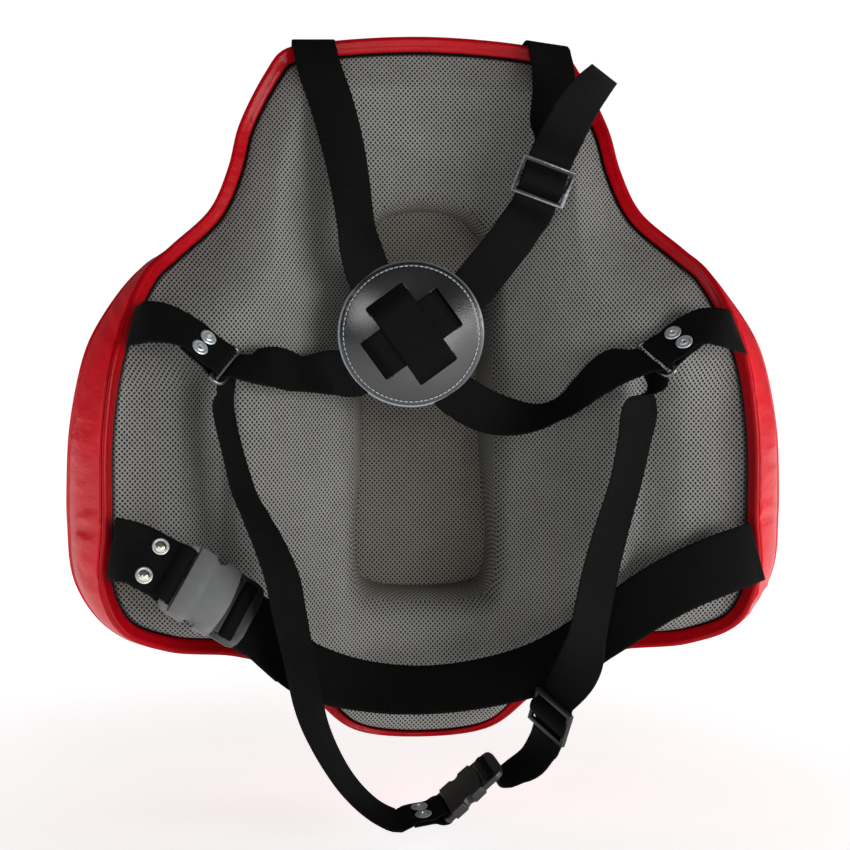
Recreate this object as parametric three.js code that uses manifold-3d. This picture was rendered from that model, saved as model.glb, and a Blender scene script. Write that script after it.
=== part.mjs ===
// Boxing chest protector with its strap harness, in millimetres, +Z up.
// x runs across the chest, +Y is the way the wearer faces, and the worn side looks to -Y.
// The origin is where the breastbone lies on the pad, level with the middle of the body.
import * as THREE from 'three';
import { mergeVertices } from 'three/addons/utils/BufferGeometryUtils.js';
import Module from 'manifold-3d';

const wasm = await Module();
wasm.setup();

// Driving sizes
const GAP = 0.4;
const COVER_WALL = 2.5;
const BINDING_WIDTH = 11;
const BINDING_THICK = 3.4;
const RIM_STEP = 22;
const FRONT_CROWN_Y = 82;
const MIDDLE_Z = 15;
const WEB = 1.6;
const PLY = WEB + 0.9;
const STRAP_WIDTH = 30;
const WAIST_WIDTH = 40;
const STRAP_STEP = 15;
const WAIST_STEP = 12;
const RECESS_FLOOR_Y = 44;
const RECESS_WALL_RUN = 9;
const GROOVE = { x: 142, depth: 10, width: 13, top: 50, bottom: -150 };
const PLATE = { x: -13.8, y: -55, z: 63.6, radius: 49, thick: 3.5, slotAt: 28, slotLong: 33, slotWide: 7.4, turn: -54 };
const RING_WIRE = 1.8;
const RING_DEPTH = 12;
const RING_BAR = 40;

// Materials
const paint = (color, roughness, metalness) => new THREE.MeshStandardMaterial({ color, roughness, metalness });
const RED_VINYL = paint(0xbe1222, 0.32, 0);
const AIR_MESH = paint(0x7d7c78, 0.85, 0);
const WEBBING = paint(0x161614, 0.8, 0);
const LEATHER = paint(0x26272a, 0.4, 0);
const STEEL = paint(0x8d9092, 0.3, 1);
const ZINC = paint(0xb9bfc4, 0.3, 1);
const PLASTIC = paint(0x303130, 0.45, 0);

// One half of the rim, from the middle of the neck to the middle of the bottom flap; the other half mirrors it.
// x, y, z place its crest, flare is how far the outer seam stands out past it, edge is the depth of the side wall,
// bevel is the width over which the lining rounds to the rim, and stand tips the binding from flat (0) to upright (90).
const RIM_COLUMNS = ['x', 'y', 'z', 'flare', 'edge', 'bevel', 'stand'];
const RIM = readTable(RIM_COLUMNS, [
  [0, 8, 270.5, 0, 38, 24, 8],
  [70, 6, 265.5, 0, 38, 24, 8],
  [98, 3, 259, 0, 38, 22, 10],
  [110, 0, 243, 0, 38, 24, 14],
  [128, -5, 206, 0, 38, 26, 18],
  [135, -12, 177, 0, 40, 28, 20],
  [147, -21, 148, 0, 42, 40, 24],
  [173, -40, 121, 2, 45, 58, 30],
  [188, -54, 104, 9, 49, 58, 40],
  [205, -78, 54, 26, 54, 34, 62],
  [212, -85, 0, 31, 55, 24, 70],
  [213, -85, -60, 33, 55, 24, 70],
  [215, -82, -100, 26, 50, 24, 62],
  [204, -76, -129, 13, 46, 24, 50],
  [176, -56, -146, 3, 44, 26, 36],
  [131, -28, -156, 0, 42, 26, 22],
  [92, -3, -174, 0, 40, 26, 12],
  [74, 10, -198, 0, 38, 26, 8],
  [49, 20, -217, 0, 36, 26, 6],
  [0, 26, -223, 0, 36, 26, 6],
]);

// Half of the arched recess over the breastbone, at its floor.
const RECESS = readTable(['x', 'z'], [
  [0, 154],
  [26, 149],
  [41, 133],
  [46, 112],
  [43, 40],
  [45, -30],
  [49, -95],
  [43, -115],
  [0, -122],
]);

// Strap routes: x, y, z along the middle of the webbing. Its width points along turn in the picture plane,
// counted from +x towards +z, and lean tips that direction away from the viewer.
const ROUTE_COLUMNS = ['x', 'y', 'z', 'turn', 'lean'];
const ROUTES = {
  leftShoulder: [
    [-77, 30, 268.2, 0, 0],
    [-77, 14, 268.8, 0, 0],
    [-77, 5, 268.6, 1, 0],
    [-77, 0, 265.6, 3, 0],
    [-76, -4, 259, 6, 0],
    [-73, -11, 246, 11, 0],
    [-66, -19, 222, 14, 2],
    [-59, -28, 194, 15, 14],
    [-54, -37, 166, 14, 26],
    [-50, -46, 136, 14, 32],
    [-46.5, -50, 118, 24, 16],
  ],
  rightSide: [
    [34, -51, 13, 60, 10],
    [53, -52, 8, 78, 34],
    [72, -54, 8, 88, 58],
    [86, -58, 14, 104, 68],
    [98, -67, 25, 120, 60],
    [109, -77, 36, 122, 50],
    [119, -86, 42, 122, 48],
  ],
  rightDrop: [
    [136, -91, 14, 8, 34],
    [131, -91, -6, 8, 33],
    [124, -92, -32, 14, 32],
    [114, -94, -65, 15, 28],
    [107, -96, -90, 13, 26],
    [102, -98, -112, 12, 24],
    [97, -98, -136, 4, 18],
    [91, -99, -155, -18, -6],
  ],
  rightLoop: [
    [71, -81, -208, -34, -36],
    [66, -79, -216.5, -56, -46],
    [57.5, -78.5, -221, -74, -54],
  ],
  tail: [
    [112, -73, 234, -46, 46],
    [104, -69, 225, -42, 34],
    [96, -65, 214, -34, 22],
    [88, -58, 198, -24, 12],
  ],
  rightLower: [
    [63, -46, 140, -30, 0],
    [50, -48, 122, -36, 0],
  ],
  leftSide: [
    [-66, -50, 38, -82, -4],
    [-75, -54.5, 37, -88, -30],
    [-83, -60, 37, -96, -46],
    [-95, -68, 40, -102, -36],
    [-107, -79, 42, -98, -38],
  ],
  leftDrop: [
    [-138, -89, 12, 176, -50],
    [-135, -89, -2, 174, -52],
    [-131, -90, -18, 168, -50],
    [-125, -91, -38, 158, -40],
    [-117, -93, -54, 150, -24],
    [-107, -95, -74, 152, -20],
    [-100, -97, -94, 164, -34],
    [-96, -98, -114, 170, -42],
    [-92, -98, -134, 172, -46],
    [-88, -101, -152, 180, -48],
    [-84, -101, -172, 190, -52],
    [-78, -97, -192, 200, -58],
    [-69, -93, -212, 209, -62],
    [-58, -90, -230, 220, -62],
    [-46, -90, -243, 233, -60],
    [-36, -91, -250, 247, -60],
    [-26, -92, -253.5, 261, -60],
  ],
  anchor: [
    [86, 30, 267.9, -8, 0],
    [86, 14, 268.5, -8, 0],
    [86, 4, 267.9, -8, 0],
    [86.5, -1, 264.9, -8, 0],
    [87, -5, 258.2, -6, 0],
    [88, -11, 248, -3, 0],
    [87, -20, 228, -2, 0],
    [84, -29, 206, -10, 0],
  ],
  tabLeft: [
    [-196, -80, 68, 66, 6],
    [-190, -88, 70.5, 72, 12],
    [-179, -93.5, 71, 66, 26],
    [-169, -93.5, 69, 60, 40],
  ],
  tabRight: [
    [201, -83, 62, 118, 6],
    [195, -90, 65.5, 110, 12],
    [185, -93.5, 68, 112, 26],
    [177, -92.5, 69, 122, 40],
  ],
  waistTab: [
    [-209, -89, -73, 84, 0],
    [-201, -93.5, -74.5, 78, 8],
  ],
  waistStrap: [
    [213, -88.5, -80, 100, 0],
    [203, -91.5, -83, 104, 4],
    [186, -91, -89, 110, 14],
    [163, -87, -99.5, 116, 24],
    [144, -82, -111, 118, 30],
    [127, -77, -123.5, 118, 34],
    [111, -72, -135.5, 116, 38],
    [92, -68, -149, 112, 40],
    [69, -64, -161, 104, 42],
    [45, -62, -168, 98, 46],
    [18, -62, -172.5, 92, 48],
    [-6, -62, -174, 89, 48],
    [-29, -62, -173, 86, 46],
    [-52, -64, -169, 80, 43],
    [-72, -69, -162.5, 72, 38],
    [-88, -74, -154, 64, 36],
  ],
};

// The rings: where the tab's bar lies, which way the ring hangs from it, which way the tab comes, and how the bar points.
const RINGS = {
  left: { x: -138, y: -90, z: 46, hang: [0.62, 0, -0.78], tab: [0.85, 0.25, -0.5], turn: 52, lean: 50 },
  right: { x: 146, y: -91, z: 50, hang: [-0.67, 0, -0.75], tab: [-0.92, 0.2, -0.38], turn: 132, lean: 50 },
};

// The buckles: the middle of the first bar, the direction along the closed buckle, the way its width points,
// and the directions along which the webbing meets the first bar and the last one.
const BUCKLES = {
  waist: {
    x: -168, y: -93.5, z: -90.5, along: [0.83, 0.1, -0.55], turn: 60, lean: 26,
    first: [0.85, 0, -0.42], last: [0.83, 0.2, -0.52], width: 49, webbing: 41, scale: 0.98,
  },
  loop: {
    x: 4, y: -86, z: -249, along: [0.752, 0, 0.659], turn: 135, lean: 62,
    first: [1, 0, 0.12], last: [0.96, 0, -0.2], width: 38, webbing: 31, scale: 0.88,
  },
};
const SHOULDER_SLIDER = { x: 76, y: -43, z: 166, along: [0.38, -0.1, 0.92], turn: -20, lean: 0 };
const LOOP_SLIDER = { x: 74.5, y: -91, z: -187.5, along: [0.31, -0.5, 0.95], turn: -38, lean: -27 };

// Small helpers

function readTable(columns, rows) {
  return rows.map((row) => Object.fromEntries(columns.map((name, i) => [name, row[i]])));
}

function vec(x, y, z) {
  return new THREE.Vector3(x, y, z);
}

function mix(a, b, f) {
  return a + (b - a) * f;
}

function smooth(from, to, value) {
  return THREE.MathUtils.smoothstep(value, from, to);
}

function widthDirection(turn, lean) {
  const t = THREE.MathUtils.degToRad(turn);
  const l = THREE.MathUtils.degToRad(lean);
  return vec(Math.cos(t) * Math.cos(l), Math.sin(l), Math.sin(t) * Math.cos(l));
}

// A solid from vertices and triangles, turned so that its faces point out.
function solid(points, triangles) {
  let volume = 0;
  for (const [a, b, c] of triangles) {
    volume += points[a].dot(points[b].clone().cross(points[c]));
  }
  const geometry = new THREE.BufferGeometry();
  geometry.setAttribute('position', new THREE.Float32BufferAttribute(points.flatMap((p) => [p.x, p.y, p.z]), 3));
  geometry.setIndex(triangles.flatMap(([a, b, c]) => (volume < 0 ? [a, c, b] : [a, b, c])));
  return geometry;
}

// Rings of points from one pole to the other.
function poleToPole(first, rings, last) {
  const points = [first, ...rings.flat(), last];
  const count = rings[0].length;
  const triangles = [];
  for (let i = 0; i < count; i += 1) {
    const j = (i + 1) % count;
    triangles.push([0, 1 + j, 1 + i]);
    for (let r = 0; r < rings.length - 1; r += 1) {
      const low = 1 + r * count;
      const high = low + count;
      triangles.push([low + i, low + j, high + j], [low + i, high + j, high + i]);
    }
    const top = 1 + (rings.length - 1) * count;
    triangles.push([top + i, top + j, points.length - 1]);
  }
  return solid(points, triangles);
}

// A section swept round a closed loop, or along an open run with flat ends.
// Its front and back are split along the same diagonals, so that a thin twisted run keeps its thickness.
function sweep(sections, closed) {
  const sides = sections[0].length;
  const points = sections.flat();
  const triangles = [];
  const spans = closed ? sections.length : sections.length - 1;
  if (!closed) {
    const end = (sections.length - 1) * sides;
    for (let k = 1; k < sides - 1; k += 1) {
      triangles.push([0, k + 1, k], [end, end + k, end + k + 1]);
    }
  }
  for (let s = 0; s < spans; s += 1) {
    const here = s * sides;
    const next = ((s + 1) % sections.length) * sides;
    for (let k = 0; k < sides; k += 1) {
      const m = (k + 1) % sides;
      if (k < sides / 2) {
        triangles.push([here + k, here + m, next + m], [here + k, next + m, next + k]);
      } else {
        triangles.push([here + k, here + m, next + k], [here + m, next + m, next + k]);
      }
    }
  }
  return solid(points, triangles);
}

// Booleans on closed meshes.
function toManifold(geometry) {
  const bare = geometry.clone();
  bare.deleteAttribute('normal');
  bare.deleteAttribute('uv');
  const merged = mergeVertices(bare, 1e-4);
  return new wasm.Manifold(new wasm.Mesh({
    numProp: 3,
    vertProperties: new Float32Array(merged.attributes.position.array),
    triVerts: new Uint32Array(merged.index.array),
  }));
}

function fromManifold(body) {
  const mesh = body.getMesh();
  const geometry = new THREE.BufferGeometry();
  geometry.setAttribute('position', new THREE.BufferAttribute(new Float32Array(mesh.vertProperties), 3));
  geometry.setIndex(new THREE.BufferAttribute(new Uint32Array(mesh.triVerts), 1));
  return geometry;
}

function cut(geometry, cutters) {
  let body = toManifold(geometry);
  for (const cutter of cutters) {
    body = body.subtract(toManifold(cutter));
  }
  return fromManifold(body);
}

function join(geometries) {
  let body = toManifold(geometries[0]);
  for (const other of geometries.slice(1)) {
    body = body.add(toManifold(other));
  }
  return fromManifold(body);
}

function box(x0, x1, y0, y1, z0, z1) {
  const geometry = new THREE.BoxGeometry(x1 - x0, y1 - y0, z1 - z0);
  geometry.translate((x0 + x1) / 2, (y0 + y1) / 2, (z0 + z1) / 2);
  return geometry;
}

// The rim: stations round the whole outline
const rimRows = [...RIM, ...RIM.slice(1, -1).reverse().map((row) => ({ ...row, x: -row.x }))];
const rimCurve = new THREE.CatmullRomCurve3(rimRows.map((row) => vec(row.x, row.y, row.z)), true, 'centripetal');

function rimStations() {
  const stations = [];
  for (let i = 0; i < rimRows.length; i += 1) {
    const here = rimRows[i];
    const next = rimRows[(i + 1) % rimRows.length];
    const length = vec(here.x, here.y, here.z).distanceTo(vec(next.x, next.y, next.z));
    const steps = Math.max(1, Math.round(length / RIM_STEP));
    for (let k = 0; k < steps; k += 1) {
      const f = k / steps;
      const station = { crest: rimCurve.getPoint((i + f) / rimRows.length) };
      for (const column of ['flare', 'edge', 'bevel', 'stand']) {
        station[column] = mix(here[column], next[column], f);
      }
      stations.push(station);
    }
  }
  const count = stations.length;
  for (let i = 0; i < count; i += 1) {
    const before = stations[(i + count - 1) % count].crest;
    const after = stations[(i + 1) % count].crest;
    const run = vec(after.x - before.x, 0, after.z - before.z).normalize();
    const inward = vec(run.z, 0, -run.x);
    const stand = THREE.MathUtils.degToRad(stations[i].stand);
    const station = stations[i];
    station.inward = inward;
    station.along = inward.clone().multiplyScalar(Math.cos(stand)).add(vec(0, Math.sin(stand), 0));
    station.behind = inward.clone().multiplyScalar(-Math.sin(stand)).add(vec(0, Math.cos(stand), 0));
  }
  return stations;
}

const rim = rimStations();

// A point of a rim station's section: how far in from the crest along the binding, and how far behind its face.
function atRim(station, along, behind) {
  return station.crest.clone().addScaledVector(station.along, along).addScaledVector(station.behind, behind);
}

// Edge binding: a flattened roll along the rim
const half = BINDING_THICK / 2;
const BINDING_SECTION = [
  [0, half],
  [1.2, 0.1],
  [BINDING_WIDTH - 1.2, 0.1],
  [BINDING_WIDTH, half],
  [BINDING_WIDTH - 1.2, BINDING_THICK],
  [1.2, BINDING_THICK],
];
const bindingGeometry = sweep(rim.map((s) => BINDING_SECTION.map(([a, b]) => atRim(s, a, b))), true);

// Cover: the side wall from the rim to the outer seam, then the crowned front
const FRONT_RINGS = [0.965, 0.88, 0.74, 0.56, 0.34];
const WALL_RINGS = [0.5, 1];

function coverRings() {
  const top = rim.map((s) => atRim(s, 0.8, BINDING_THICK + GAP));
  const seam = rim.map((s) => {
    const p = s.crest.clone().addScaledVector(s.inward, 1.5 - s.flare);
    return vec(p.x, s.crest.y + s.edge, p.z);
  });
  const rings = [top];
  for (const f of WALL_RINGS) {
    rings.push(rim.map((s, i) => {
      const bulge = (0.5 + s.flare / 10) * Math.sin(Math.PI * f);
      return top[i].clone().lerp(seam[i], f).addScaledVector(s.inward, -bulge);
    }));
  }
  for (const f of FRONT_RINGS) {
    rings.push(seam.map((p) => vec(
      p.x * f,
      mix(FRONT_CROWN_Y, p.y, Math.pow(f, 2.2)),
      mix(MIDDLE_Z, p.z, f),
    )));
  }
  return rings;
}

const outer = coverRings();
const frontPole = vec(0, FRONT_CROWN_Y, MIDDLE_Z);

// The same rings moved in by a wall thickness, along the surface's own normal.
function inset(rings, pole, distance) {
  const count = rings[0].length;
  return rings.map((ring, r) => ring.map((p, i) => {
    const round = ring[(i + 1) % count].clone().sub(ring[(i + count - 1) % count]);
    const before = rings[Math.max(r - 1, 0)][i];
    const after = r + 1 < rings.length ? rings[r + 1][i] : pole;
    const normal = round.cross(after.clone().sub(before)).normalize();
    return p.clone().addScaledVector(normal, distance);
  }));
}

// Which way is in: towards the middle of the pad.
const probe = inset(outer, frontPole, 1)[1][0];
const side = probe.distanceTo(vec(0, 0, MIDDLE_Z)) < outer[1][0].distanceTo(vec(0, 0, MIDDLE_Z)) ? 1 : -1;
const coverInner = inset(outer, frontPole, side * COVER_WALL);
coverInner[0] = rim.map((s) => atRim(s, 0.8 + COVER_WALL, BINDING_THICK + GAP));
const coverGeometry = poleToPole(
  frontPole,
  [...outer.slice().reverse(), ...coverInner],
  vec(0, FRONT_CROWN_Y - COVER_WALL, MIDDLE_Z),
);

// Lining: the height of the pad's worn face at a point
function padFace(x, z) {
  const up = smooth(60, 250, z);
  const middle = mix(12, 4, up);
  const rise = mix(75, 26, up);
  const t = Math.min(Math.abs(x) / 165, 1);
  const wing = Math.max(Math.abs(x) - 165, 0);
  const base = middle - rise * (0.5 - 0.5 * Math.cos(Math.PI * t)) - 0.25 * wing;
  const grooveX = GROOVE.x - 0.45 * Math.max(0, -90 - z);
  const from = (Math.abs(x) - grooveX) / GROOVE.width;
  const reach = (1 - smooth(GROOVE.top - 25, GROOVE.top + 15, z)) * smooth(GROOVE.bottom - 20, GROOVE.bottom + 20, z);
  return base + GROOVE.depth * Math.exp(-from * from) * reach;
}

// The recess outline as seen from the middle: its radius along a direction.
const recessRows = [...RECESS, ...RECESS.slice(1, -1).reverse().map((row) => ({ x: -row.x, z: row.z }))];
const recessLine = new THREE.CatmullRomCurve3(recessRows.map((r) => vec(r.x, 0, r.z)), true, 'centripetal').getPoints(240);

function recessPoint(dx, dz) {
  for (let i = 0; i + 1 < recessLine.length; i += 1) {
    const ax = recessLine[i].x;
    const az = recessLine[i].z - MIDDLE_Z;
    const bx = recessLine[i + 1].x;
    const bz = recessLine[i + 1].z - MIDDLE_Z;
    const sideA = dx * az - dz * ax;
    const sideB = dx * bz - dz * bx;
    if (sideA * sideB <= 0 && sideA !== sideB) {
      const f = sideA / (sideA - sideB);
      const x = mix(ax, bx, f);
      const z = mix(az, bz, f);
      if (x * dx + z * dz > 0) {
        return { x, z: z + MIDDLE_Z };
      }
    }
  }
  return { x: 0, z: MIDDLE_Z };
}

const LINING_EDGE = BINDING_WIDTH + 0.8;
const FLOOR_RINGS = [0.5, 0.92];
const FACE_RINGS = [0, 0.16, 0.32, 0.47, 0.6, 0.71, 0.8, 0.88, 0.95, 1];

function liningRings() {
  const edge = rim.map((s) => atRim(s, LINING_EDGE, 1));
  const floorLine = edge.map((e) => recessPoint(e.x, e.z - MIDDLE_Z));
  const rings = FLOOR_RINGS.map((f) => floorLine.map((p) => vec(
    p.x * f,
    RECESS_FLOOR_Y,
    mix(MIDDLE_Z, p.z, f),
  )));
  const brink = floorLine.map((p) => {
    const reach = Math.hypot(p.x, p.z - MIDDLE_Z);
    const f = (reach + RECESS_WALL_RUN) / reach;
    return { x: p.x * f, z: mix(MIDDLE_Z, p.z, f) };
  });
  for (const f of FACE_RINGS) {
    rings.push(rim.map((s, i) => {
      const x = mix(brink[i].x, edge[i].x, f);
      const z = mix(brink[i].z, edge[i].z, f);
      const clear = Math.min(Math.hypot(x - edge[i].x, z - edge[i].z) / s.bevel, 1);
      const round = Math.sqrt(1 - (1 - clear) * (1 - clear));
      return vec(x, mix(edge[i].y, padFace(x, z), round), z);
    }));
  }
  return rings;
}

const padOuter = inset(outer, frontPole, side * (COVER_WALL + 2 * GAP));
padOuter[0] = rim.map((s) => atRim(s, 0.8 + COVER_WALL + 3 * GAP, BINDING_THICK + 2.5 * GAP));
const padBehind = rim.map((s) => atRim(s, LINING_EDGE, BINDING_THICK + 2 * GAP));
const padGeometry = poleToPole(
  vec(0, RECESS_FLOOR_Y, MIDDLE_Z),
  [...liningRings(), padBehind, ...padOuter],
  vec(0, FRONT_CROWN_Y - COVER_WALL - GAP, MIDDLE_Z),
);

// Webbing: stations hold a point of the middle line and the way the width points. A skewed station, where the webbing
// turns on a bar at a slant, keeps its width along the bar; the others set it square to the run.
function route(name) {
  return readTable(ROUTE_COLUMNS, ROUTES[name]).map((row) => ({
    p: vec(row.x, row.y, row.z),
    across: widthDirection(row.turn, row.lean),
  }));
}

// Webbing that turns back on itself ends in a second ply, which follows the first one at a fixed distance
// for the length back, counted from the station numbered turnFrom.
function secondPly(samples, turnFrom, back) {
  const start = samples.findIndex((s) => s.station === turnFrom);
  const down = samples[samples.length - 1].p.clone().sub(samples[start].p).normalize();
  const ply = [];
  let length = 0;
  for (let i = start - 1; i >= 0 && length < back; i -= 1) {
    const s = samples[i];
    const n = s.n.clone().multiplyScalar(Math.sign(s.n.dot(down)));
    ply.push({ ...s, p: s.p.clone().addScaledVector(n, PLY), n: s.n.clone().negate(), squeeze: s.squeeze * 0.96 });
    length += s.p.distanceTo(samples[i + 1].p);
  }
  return ply;
}

function layWebbing(stations, width, back = 0, step = STRAP_STEP) {
  const across = stations.map((s) => s.across.clone());
  for (let i = 1; i < across.length; i += 1) {
    if (across[i].dot(across[i - 1]) < 0) {
      across[i].negate();
    }
  }
  const last = stations.length - 1;
  const curve = new THREE.CatmullRomCurve3(stations.map((s) => s.p), false, 'centripetal');
  const samples = [];
  for (let i = 0; i <= last; i += 1) {
    const length = i < last ? stations[i].p.distanceTo(stations[i + 1].p) : 0;
    const steps = i < last ? Math.max(1, Math.round(length / step)) : 1;
    for (let k = 0; k < steps; k += 1) {
      const f = k / steps;
      const p = curve.getPoint((i + f) / last);
      const t = curve.getTangent((i + f) / last);
      const a = across[i].clone().lerp(across[Math.min(i + 1, last)], f);
      const skewed = mix(stations[i].skewed ?? 0, stations[Math.min(i + 1, last)].skewed ?? 0, f);
      const squeeze = mix(stations[i].squeeze ?? 1, stations[Math.min(i + 1, last)].squeeze ?? 1, f);
      a.addScaledVector(t, (skewed - 1) * a.dot(t)).normalize();
      samples.push({ p, t, a, n: t.clone().cross(a).normalize(), squeeze, station: i });
    }
  }
  if (back > 0) {
    samples.push(...secondPly(samples, stations.findIndex((s) => s.turnFrom), back));
  }
  const sections = samples.map((s) => [[-1, -1], [1, -1], [1, 1], [-1, 1]].map(([u, v]) => s.p.clone()
    .addScaledVector(s.a, u * s.squeeze * width / 2)
    .addScaledVector(s.n, v * WEB / 2)));
  return { geometry: sweep(sections, false), samples };
}

// A local frame: along the piece, across it, and out of its face towards the viewer.
function frameOf(spot) {
  const along = vec(...spot.along);
  const across = widthDirection(spot.turn, spot.lean);
  along.addScaledVector(across, -along.dot(across)).normalize();
  const face = along.clone().cross(across);
  if (face.y > 0) {
    face.negate();
  }
  return { at: vec(spot.x, spot.y, spot.z), along, across, face };
}

function inFrame(frame, along, face, across = 0) {
  return frame.at.clone()
    .addScaledVector(frame.along, along)
    .addScaledVector(frame.face, face)
    .addScaledVector(frame.across, across);
}

function stationIn(frame, along, face) {
  return { p: inFrame(frame, along, face), across: frame.across.clone() };
}

// Webbing that comes up to a bar on its viewer's side and turns round it to run back under itself.
// way is +1 where it comes from the frame's low end and -1 where it comes from its high end.
function loopRound(front, frame, way, radius, straight) {
  const ply = PLY;
  const bend = [
    [-straight, ply / 2],
    [-10, ply / 2],
    [-7, ply / 2 + 0.4],
    [-4, radius - 0.4],
    [0, radius],
    [radius * 0.71, radius * 0.71],
    [radius, 0],
    [radius * 0.71, -radius * 0.71],
    [0, -radius],
    [-4, 0.4 - radius],
    [-7, -ply / 2 - 0.4],
    [-10, -ply / 2],
    [-straight, -ply / 2],
  ].map(([u, v]) => stationIn(frame, way * u, v));
  bend[0].turnFrom = true;
  return [...front, ...bend];
}

// Back plate: a leather disc with four slots, and the two straps that cross it
const plateTurn = THREE.MathUtils.degToRad(PLATE.turn);
const plateFrames = {
  over: frameOf({ ...PLATE, along: [Math.cos(plateTurn), 0, Math.sin(plateTurn)], turn: PLATE.turn + 90, lean: 0 }),
  under: frameOf({ ...PLATE, along: [Math.sin(plateTurn), 0, -Math.cos(plateTurn)], turn: PLATE.turn, lean: 0 }),
};

function plateGeometry() {
  const shape = new THREE.Shape();
  shape.absarc(0, 0, PLATE.radius, 0, Math.PI * 2, false);
  for (let k = 0; k < 4; k += 1) {
    const turn = plateTurn + k * Math.PI / 2;
    const corner = (u, v) => [
      u * Math.cos(turn) - v * Math.sin(turn),
      u * Math.sin(turn) + v * Math.cos(turn),
    ];
    const slot = new THREE.Path();
    const u0 = PLATE.slotAt - PLATE.slotWide / 2;
    const u1 = PLATE.slotAt + PLATE.slotWide / 2;
    const v1 = PLATE.slotLong / 2;
    slot.moveTo(...corner(u0, -v1));
    slot.lineTo(...corner(u0, v1));
    slot.lineTo(...corner(u1, v1));
    slot.lineTo(...corner(u1, -v1));
    slot.closePath();
    shape.holes.push(slot);
  }
  const geometry = new THREE.ExtrudeGeometry(shape, { depth: PLATE.thick, bevelEnabled: false, curveSegments: 28 });
  geometry.translate(0, 0, -PLATE.thick / 2);
  geometry.rotateX(Math.PI / 2);
  geometry.translate(PLATE.x, PLATE.y, PLATE.z);
  return geometry;
}

// How the webbing dips through a slot, over the plate and out of the far slot: place along it, height over its middle.
function acrossPlate(frame, height) {
  const rise = [
    [-46, -4.6],
    [-34.5, -3.9],
    [-31.6, -2.9],
    [-28, 0],
    [-24.6, 2.7],
    [-20.5, height - 0.35],
    [-15.8, height],
  ];
  const fall = rise.slice().reverse().map(([u, v]) => [-u, v]);
  return [...rise, ...fall].map(([u, v]) => stationIn(frame, u, v));
}

const overHeight = PLATE.thick / 2 + GAP + WEB + GAP + WEB / 2;
const underHeight = PLATE.thick / 2 + GAP + WEB / 2;

// Rings, and the turn of the cross strap round a ring's far bar
function ringParts(spot) {
  const frame = frameOf({ ...spot, along: spot.hang });
  const longSide = RING_BAR / 2 + RING_WIRE;
  const outline = [
    [0, -longSide],
    [0, longSide],
    [RING_DEPTH * 0.6, longSide],
    [RING_DEPTH, longSide - 4],
    [RING_DEPTH, 4 - longSide],
    [RING_DEPTH * 0.6, -longSide],
  ];
  const loop = [];
  for (let i = 0; i < outline.length; i += 1) {
    const [u0, v0] = outline[i];
    const [u1, v1] = outline[(i + 1) % outline.length];
    const steps = Math.hypot(u1 - u0, v1 - v0) > 20 ? 2 : 1;
    for (let k = 0; k < steps; k += 1) {
      loop.push([mix(u0, u1, k / steps), mix(v0, v1, k / steps)]);
    }
  }
  const sections = loop.map(([u, v], i) => {
    const [ua, va] = loop[(i + loop.length - 1) % loop.length];
    const [ub, vb] = loop[(i + 1) % loop.length];
    const run = Math.hypot(ub - ua, vb - va);
    const out = [(vb - va) / run, -(ub - ua) / run];
    return Array.from({ length: 8 }, (unused, k) => {
      const angle = k * Math.PI / 4;
      const wide = RING_WIRE * Math.cos(angle);
      return inFrame(frame, u + out[0] * wide, RING_WIRE * Math.sin(angle), v + out[1] * wide);
    });
  });
  return { frame, tab: frameOf({ ...spot, along: spot.tab }), geometry: sweep(sections, true) };
}

// The webbing comes over the far bar on the viewer's side, turns through the ring and leaves behind it.
// skew is how far it slides along the bar for each millimetre that it runs round it.
const RING_WRAP = THREE.MathUtils.degToRad(60);
const RING_LEAD = 6;

function turnOnRing(frame, skew) {
  const radius = RING_WIRE + GAP + WEB / 2;
  const stations = [0, 1, 2, 3, 4].map((k) => {
    const angle = RING_WRAP * (1 - k / 2);
    const run = frame.along.clone().multiplyScalar(-Math.sin(angle))
      .addScaledVector(frame.face, -Math.cos(angle))
      .addScaledVector(frame.across, skew)
      .normalize();
    return {
      p: inFrame(frame, RING_DEPTH - radius * Math.cos(angle), radius * Math.sin(angle), -skew * radius * angle),
      across: frame.across.clone(),
      skewed: 1,
      squeeze: 0.97,
      run,
    };
  });
  const first = stations[0];
  const last = stations[stations.length - 1];
  return [
    { ...first, p: first.p.clone().addScaledVector(first.run, -RING_LEAD) },
    ...stations,
    { ...last, p: last.p.clone().addScaledVector(last.run, RING_LEAD) },
  ];
}

const rings = { left: ringParts(RINGS.left), right: ringParts(RINGS.right) };

// Three-bar sliders: rails and bars across the webbing, as heights along it
const SHOULDER_RAILS = { low: [-13, -10], bar: [-4, -0.5], high: [10, 13.5], thick: 2.4, width: 38 };
const LOOP_RAILS = { low: [-12, -9], bar: [-2.2, 2.2], high: [9, 12], thick: 3.4, width: 37 };

function sliderGeometry(rails, spot) {
  const frame = frameOf(spot);
  const shape = new THREE.Shape();
  const w = rails.width / 2;
  const inner = STRAP_WIDTH / 2 + 0.8;
  shape.moveTo(-w, rails.low[0]);
  shape.lineTo(w, rails.low[0]);
  shape.lineTo(w, rails.high[1]);
  shape.lineTo(-w, rails.high[1]);
  shape.closePath();
  for (const [from, to] of [[rails.low[1], rails.bar[0]], [rails.bar[1], rails.high[0]]]) {
    const slot = new THREE.Path();
    slot.moveTo(-inner, from);
    slot.lineTo(-inner, to);
    slot.lineTo(inner, to);
    slot.lineTo(inner, from);
    slot.closePath();
    shape.holes.push(slot);
  }
  const geometry = new THREE.ExtrudeGeometry(shape, { depth: rails.thick, bevelEnabled: false });
  geometry.translate(0, 0, -rails.thick / 2);
  const across = frame.along.clone().cross(frame.face);
  geometry.applyMatrix4(new THREE.Matrix4().makeBasis(across, frame.along, frame.face));
  geometry.translate(frame.at.x, frame.at.y, frame.at.z);
  return geometry;
}

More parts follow.
